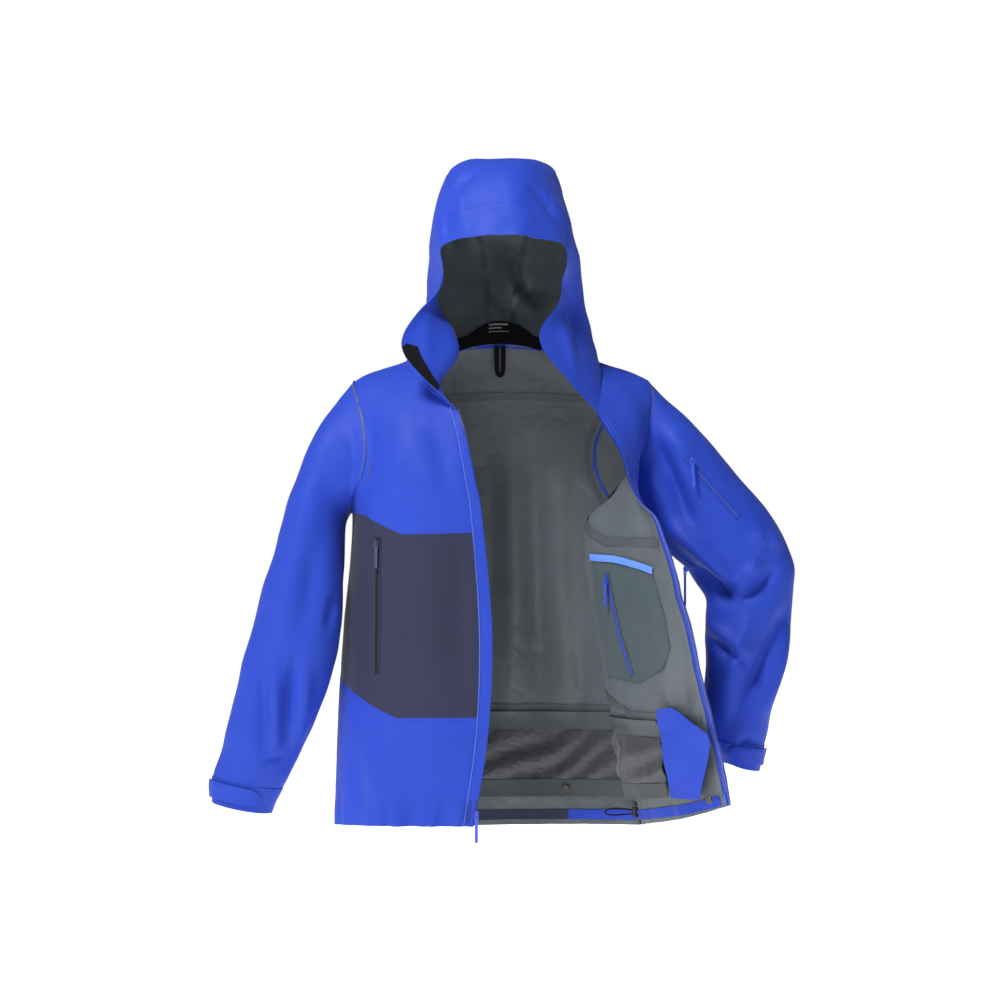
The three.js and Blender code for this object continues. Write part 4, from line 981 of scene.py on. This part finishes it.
for title, (start, end, cloth, slot) in HEM_TURN.items():
    strip(f"{title}_hem_facing", body, [(start, 5.9), (end, 5.9)], 16 * MM, INSIDE, "shell", cloth,
          sewn_to="back_panel_cloth", thickness=0.6 * MM)
LOOP_HALF, LOOP_END = 5.4 * MM, -50 * MM
loop_line = smooth_line([(-LOOP_HALF, -1.8 * MM, -2 * MM), (-LOOP_HALF, -3.5 * MM, -24 * MM),
                         (-LOOP_HALF * 0.85, -3.4 * MM, -44 * MM), (0, -3.2 * MM, LOOP_END),
                         (LOOP_HALF * 0.85, -3.4 * MM, -44 * MM), (LOOP_HALF, -3.5 * MM, -24 * MM),
                         (LOOP_HALF, -1.8 * MM, -2 * MM)], 8)
strip("hanger_strap", body, None, 7.5 * MM, 0, "shell", black_cloth, thickness=1.2 * MM,
      node="hanger_loop", sewn_to="back_yoke_cloth",
      line=(loop_line, np.tile((0.0, -1.0, 0.0), (len(loop_line), 1))))


# ---- zips ----------------------------------------------------------------------------
# Water-resistant coil zips. The two pocket zips sit in narrow raised lips of navy cloth,
# the others in blue; the main zip's blue teeth run down both front edges.
def zip_finish(name, tape_colour, coil_colour, coil_half=1.9 * MM, pitch=1.5 * MM):
    """Zip tape with a ribbed coil down its middle, drawn on the strip's own UV map."""
    material = cloth_finish(name, tape_colour, roughness=0.5, threads=1900.0, weave_depth=0.4)
    tree = material.node_tree
    shader = tree.nodes["Principled BSDF"]
    place = tree.nodes.new("ShaderNodeUVMap")
    parts = tree.nodes.new("ShaderNodeSeparateXYZ")
    tree.links.new(place.outputs["UV"], parts.inputs[0])
    off = math_node(tree, "ABSOLUTE", parts.outputs["X"])
    coil = math_node(tree, "LESS_THAN", off, coil_half)
    ribs = math_node(tree, "SINE", math_node(tree, "MULTIPLY", parts.outputs["Y"], 2 * math.pi / pitch))
    paint = tree.nodes.new("ShaderNodeMix")
    paint.data_type = "RGBA"
    tree.links.new(coil, paint.inputs[0])
    tree.links.new(shader.inputs["Base Color"].links[0].from_socket, paint.inputs[6])
    paint.inputs[7].default_value = (*coil_colour, 1)
    tree.links.new(paint.outputs[2], shader.inputs["Base Color"])
    relief = tree.nodes.new("ShaderNodeBump")
    relief.inputs["Strength"].default_value = 0.8
    relief.inputs["Distance"].default_value = 0.0006
    tree.links.new(math_node(tree, "MULTIPLY", ribs, coil), relief.inputs["Height"])
    tree.links.new(shader.inputs["Normal"].links[0].from_socket, relief.inputs["Normal"])
    tree.links.new(relief.outputs["Normal"], shader.inputs["Normal"])
    return material


zip_blue = zip_finish("blue_zip", (0.014, 0.034, 0.28), (0.035, 0.08, 0.55))
zip_dark = zip_finish("dark_zip", (0.003, 0.004, 0.014), (0.002, 0.003, 0.008))
STRAIGHT_ZIPS = {
    "right_pocket": (body, [(1.78, 3.2), (1.82, 4.43)], 1, "shell", zip_dark, shell_navy,
                     "right_pocket_panel_cloth", None, "zip_dark"),
    "left_pocket": (body, [(8.22, 3.2), (8.18, 4.43)], 1, "shell", zip_dark, shell_navy,
                    "left_pocket_panel_cloth", None, "zip_dark"),
    "inner_pocket": (body, [(8.55, 3.5), (8.57, 3.76), (8.6, 4.09), (8.66, 4.46)], -1, "shell",
                     zip_blue, pocket_cloth, "inner_pocket_cloth", None, "zip_blue"),
    "sleeve_pocket": (left_arm, [(11.25, 1.15), (11.2, 2.65)], 1, "left_arm", zip_blue, shell_blue,
                      "left_sleeve_cloth", LEFT_BEND, "zip_blue"),
    "right_pit": (right_arm, [(1.6, 1.3), (1.6, 3.4)], 1, "right_arm", zip_blue, shell_blue,
                  "right_sleeve_cloth", RIGHT_BEND, "zip_blue"),
    "left_pit": (left_arm, [(2.3, 0.9), (2.3, 3.1)], 1, "left_arm", zip_blue, shell_blue,
                 "left_sleeve_cloth", LEFT_BEND, "zip_blue"),
}
LIP_WIDE, LIP_HIGH, COIL_WIDE = 2.6 * MM, 0.9 * MM, 6 * MM
for name, (cloth, path, face, on_body, finish, lip, host, bend, slot) in STRAIGHT_ZIPS.items():
    base_height = 0.5 * MM if face > 0 else -4.2 * MM
    strip(f"{name}_zip_tape", cloth, path, COIL_WIDE, base_height, on_body, finish, sewn_to=host,
          bend=bend, node=f"{name}_zip", bow=0.5 * MM * face)
    middle, out = surface_line(cloth, path, base_height)
    across = np.cross(out, np.gradient(middle, axis=0))
    across /= np.linalg.norm(across, axis=1, keepdims=True)
    for side, way in (("front", 1), ("rear", -1)):
        shifted = middle + across * way * (COIL_WIDE + LIP_WIDE) / 2
        strip(f"{name}_zip_{side}_lip", cloth, None, LIP_WIDE, 0, on_body, lip, sewn_to=host,
              bend=bend, bow=LIP_HIGH * face, line=(shifted, out))

FRONT_ROWS = (0.05, HEM - 0.02)
MAIN_TAPES = {"right": (0.07, -1.6 * MM), "left": (SPAN - 0.07, -1.6 * MM)}
for side, (column, height) in MAIN_TAPES.items():
    strip(f"{side}_main_zip_tape", body, [(column, v) for v in np.linspace(*FRONT_ROWS, 13)],
          12.6 * MM, height, "shell", zip_blue, sewn_to=f"{side}_front_placket_cloth",
          node=f"{side}_zip_tape", thickness=0.6 * MM)

# ---- teeth and stitches --------------------------------------------------------------
# One node tree sets small rounded beads along lines: the main zip's moulded teeth, and
# the stitches of every topstitched seam.
beads = bpy.data.node_groups.new("beads_along_lines", "GeometryNodeTree")
beads.interface.new_socket("Lines", in_out="INPUT", socket_type="NodeSocketGeometry")
bead_inputs = {}
for title, value in (("Pitch", 0.003), ("Thickness", 0.0005), ("Length", 0.002)):
    socket = beads.interface.new_socket(title, in_out="INPUT", socket_type="NodeSocketFloat")
    socket.default_value = value
    bead_inputs[title] = socket.identifier
socket = beads.interface.new_socket("Finish", in_out="INPUT", socket_type="NodeSocketMaterial")
bead_inputs["Finish"] = socket.identifier
beads.interface.new_socket("Beads", in_out="OUTPUT", socket_type="NodeSocketGeometry")
given, put = beads.nodes.new("NodeGroupInput"), beads.nodes.new("NodeGroupOutput")
to_points = beads.nodes.new("GeometryNodeCurveToPoints")
to_points.mode = "LENGTH"
ball = beads.nodes.new("GeometryNodeMeshIcoSphere")
ball.inputs["Radius"].default_value = 0.5
ball.inputs["Subdivisions"].default_value = 2
sizes = beads.nodes.new("ShaderNodeCombineXYZ")
copies = beads.nodes.new("GeometryNodeInstanceOnPoints")
real = beads.nodes.new("GeometryNodeRealizeInstances")
smooth = beads.nodes.new("GeometryNodeSetShadeSmooth")
finish = beads.nodes.new("GeometryNodeSetMaterial")
for start, end in (
        (given.outputs["Lines"], to_points.inputs["Curve"]),
        (given.outputs["Pitch"], to_points.inputs["Length"]),
        (given.outputs["Thickness"], sizes.inputs["X"]), (given.outputs["Thickness"], sizes.inputs["Y"]),
        (given.outputs["Length"], sizes.inputs["Z"]), (to_points.outputs["Points"], copies.inputs["Points"]),
        (ball.outputs["Mesh"], copies.inputs["Instance"]),
        (to_points.outputs["Rotation"], copies.inputs["Rotation"]),
        (sizes.outputs["Vector"], copies.inputs["Scale"]),
        (copies.outputs["Instances"], real.inputs["Geometry"]),
        (real.outputs["Geometry"], smooth.inputs["Geometry"]),
        (smooth.outputs["Geometry"], finish.inputs["Geometry"]),
        (given.outputs["Finish"], finish.inputs["Material"]),
        (finish.outputs["Geometry"], put.inputs["Beads"])):
    beads.links.new(start, end)


def bead_rows(name, lines, on_body, material, pitch, thickness, length, *, bend=None, sewn_to=None):
    """Rows of beads along lines, made into one plain mesh."""
    curve = bpy.data.curves.new(f"{name}_lines", "CURVE")
    curve.dimensions = "3D"
    for line in lines:
        spline = curve.splines.new("POLY")
        spline.points.add(len(line) - 1)
        spline.points.foreach_set("co", np.hstack([line, np.ones((len(line), 1))]).ravel())
    rows = add_object(f"{name}_lines", curve)
    maker = rows.modifiers.new("beads", "NODES")
    maker.node_group = beads
    for title, value in (("Pitch", pitch), ("Thickness", thickness), ("Length", length),
                         ("Finish", material)):
        maker[bead_inputs[title]] = value
    built = rows.evaluated_get(bpy.context.evaluated_depsgraph_get())
    mesh = bpy.data.meshes.new_from_object(built)
    bpy.data.objects.remove(rows)
    piece = add_object(name, mesh)
    finish_cloth(piece, on_body, None, bend)
    if sewn_to:
        TRIMS.setdefault(sewn_to, []).append(piece)


def moulded(name, colour, roughness=0.35, metallic=0.0, grain=0.15):
    """Moulded plastic or cast metal: a fine grain, and gloss that varies with handling."""
    material = bpy.data.materials.new(name)
    material.use_nodes = True
    tree = material.node_tree
    shader = tree.nodes["Principled BSDF"]
    shader.inputs["Metallic"].default_value = metallic
    place = tree.nodes.new("ShaderNodeTexCoord")
    fine, worn = (tree.nodes.new("ShaderNodeTexNoise") for _ in range(2))
    for texture, scale in ((fine, 2500), (worn, 180)):
        texture.inputs["Scale"].default_value = scale
        tree.links.new(place.outputs["Object"], texture.inputs["Vector"])
    tint = tree.nodes.new("ShaderNodeMix")
    tint.data_type = "RGBA"
    tint.inputs[6].default_value = (*[c * 0.85 for c in colour], 1)
    tint.inputs[7].default_value = (*[min(1, c * 1.15) for c in colour], 1)
    tree.links.new(worn.outputs["Fac"], tint.inputs[0])
    tree.links.new(tint.outputs[2], shader.inputs["Base Color"])
    tree.links.new(math_node(tree, "MULTIPLY_ADD", worn.outputs["Fac"], 0.2, roughness - 0.1),
                   shader.inputs["Roughness"])
    relief = tree.nodes.new("ShaderNodeBump")
    relief.inputs["Strength"].default_value = grain
    relief.inputs["Distance"].default_value = 0.0002
    tree.links.new(fine.outputs["Fac"], relief.inputs["Height"])
    tree.links.new(relief.outputs["Normal"], shader.inputs["Normal"])
    return material


tooth_blue = moulded("tooth_blue", (0.20, 0.30, 0.95), roughness=0.4)
thread_blue = moulded("thread_blue", (0.035, 0.070, 0.55), roughness=0.7)
thread_grey = moulded("thread_grey", (0.05, 0.055, 0.056), roughness=0.7)
TOOTH_PITCH, TOOTH_SIZE = 2.9 * MM, 2.2 * MM
rows_down = np.linspace(*FRONT_ROWS, 60)
for side, column, height in (("right", PLACKET, 0.4 * MM), ("left", SPAN - 0.03, -2.2 * MM)):
    bead_rows(f"{side}_zip_teeth", [body.skin(np.full(60, column), rows_down, height)], "shell",
              tooth_blue, TOOTH_PITCH, TOOTH_SIZE, TOOTH_SIZE * 0.8,
              sewn_to=f"{side}_front_placket_cloth")

STITCH_PITCH, STITCH_LONG, STITCH_THICK = 3.2 * MM, 2.3 * MM, 0.45 * MM
beside_seam = 0.03
STITCHED = {
    "right_front": (body, [[(PLACKET + 0.04, v) for v in rows_down],
                           [(PLACKET, 3.16 - beside_seam), (1.41, 3.17 - beside_seam), (2.1, 2.95 - beside_seam)],
                           [(PLACKET, 4.86 + beside_seam), (1.5, 4.86 + beside_seam),
                            (2.85, 4.47 + beside_seam)],
                           [(0, HEM - 0.22), (SIDE_R, HEM - 0.22)]],
                    0.1 * MM, "shell", thread_blue, "right_front_skirt_cloth", None),
    "left_front": (body, [[(SPAN, HEM - 0.22), (SIDE_L, HEM - 0.22)],
                          [(SPAN - 0.24, v) for v in rows_down]],
                   0.1 * MM, "shell", thread_blue, "left_front_skirt_cloth", None),
    "back": (body, [[(SIDE_R, HEM - 0.22), (SIDE_L, HEM - 0.22)],
                    [(SIDE_R + yoke_end, YOKE_ROW + beside_seam), (SIDE_L - yoke_end, YOKE_ROW + beside_seam)]],
             0.1 * MM, "shell", thread_blue, "back_panel_cloth", None),
    "pocket": (body, [[*POCKET_SHAPE, POCKET_SHAPE[0]]], -4.4 * MM, "shell", thread_grey,
               "inner_pocket_cloth", None),
    "skirt_seam": (body, [[(SKIRT_FROM, SKIRT_PLAIN), (SKIRT_TO, SKIRT_PLAIN)]], -8.6 * MM, "shell",
                   thread_grey, "skirt_plain_strip", None),
    "hood": (hood, [[(2.7, 0.46), (7.3, 0.46)], [(3.57, 0.5), (3.77, 3), (4.2, 4.7)],
                    [(6.43, 0.5), (6.23, 3), (5.8, 4.7)]],
             0.1 * MM, "hood", thread_blue, "hood_crown_cloth", HOOD_BEND),
}
for name, (cloth, paths, height, on_body, thread, host, bend) in STITCHED.items():
    bead_rows(f"{name}_stitches", [surface_line(cloth, path, height)[0] for path in paths], on_body,
              thread, STITCH_PITCH, STITCH_THICK, STITCH_LONG, bend=bend, sewn_to=host)
for side, (cloth, cuff_row, outline) in TABS.items():
    ring = np.linspace(0, RING, 120, endpoint=False)
    bead_rows(f"{side}_cuff_stitches", [cloth.skin(ring, np.full(120, row), 1.3 * MM)
                                        for row in (cuff_row + 0.12, cloth.lines - 0.12)],
              f"{side}_arm", thread_blue, STITCH_PITCH, STITCH_THICK, STITCH_LONG,
              sewn_to=f"{side}_cuff_cloth")

# ---- neck label ----------------------------------------------------------------------
# A plain woven label with three blank bars, sewn on the black neck patch.
label_thread = moulded("label_thread", (0.32, 0.33, 0.34), roughness=0.7)
for row, (start, end, wide) in enumerate(((4.2, 5.5, 3.2), (4.2, 5.1, 2.2), (4.2, 5.6, 1.4))):
    strip(f"label_bar_{row + 1}", hood, [(start, 4.80 + row * 0.035), (end, 4.80 + row * 0.035)],
          wide * MM, -3.5 * MM, "hood", label_thread, sewn_to="neck_patch_cloth", bend=HOOD_BEND,
          thickness=0.3 * MM)

# ---- sliders, pulls, studs and the cord lock -----------------------------------------
# Small moulded and cast parts, with soft edges. The pocket pulls are slate, the studs brass.
blue_plastic = moulded("blue_pull", (0.045, 0.10, 0.66))
slate_plastic = moulded("slate_pull", (0.050, 0.060, 0.115))
black_plastic = moulded("black_lock", (0.012, 0.012, 0.013), roughness=0.45)
brass = moulded("stud_brass", (0.10, 0.085, 0.065), roughness=0.4, metallic=0.8)
HARD_PARTS = {
    blue_plastic: ["main_slider", "main_pull", "zip_box", "zip_pin"]
    + [f"{name}_{part}" for name in ("inner_pocket", "sleeve_pocket", "right_pit", "left_pit")
       for part in ("slider", "pull")],
    slate_plastic: [f"{side}_pocket_{part}" for side in ("right", "left") for part in ("slider", "pull")],
    black_plastic: ["cord_lock", "lock_button"],
    brass: ["flap_snap_upper", "flap_snap_lower", "band_snap"],
}
EDGE_SOFT = 0.25 * MM
for material, names in HARD_PARTS.items():
    for name in names:
        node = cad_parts[name]
        node.data.materials.clear()
        node.data.materials.append(material)
        round_over = node.modifiers.new("soft_edges", "BEVEL")
        round_over.width = EDGE_SOFT
        round_over.segments = 2
        round_over.limit_method = "ANGLE"
        round_over.harden_normals = True
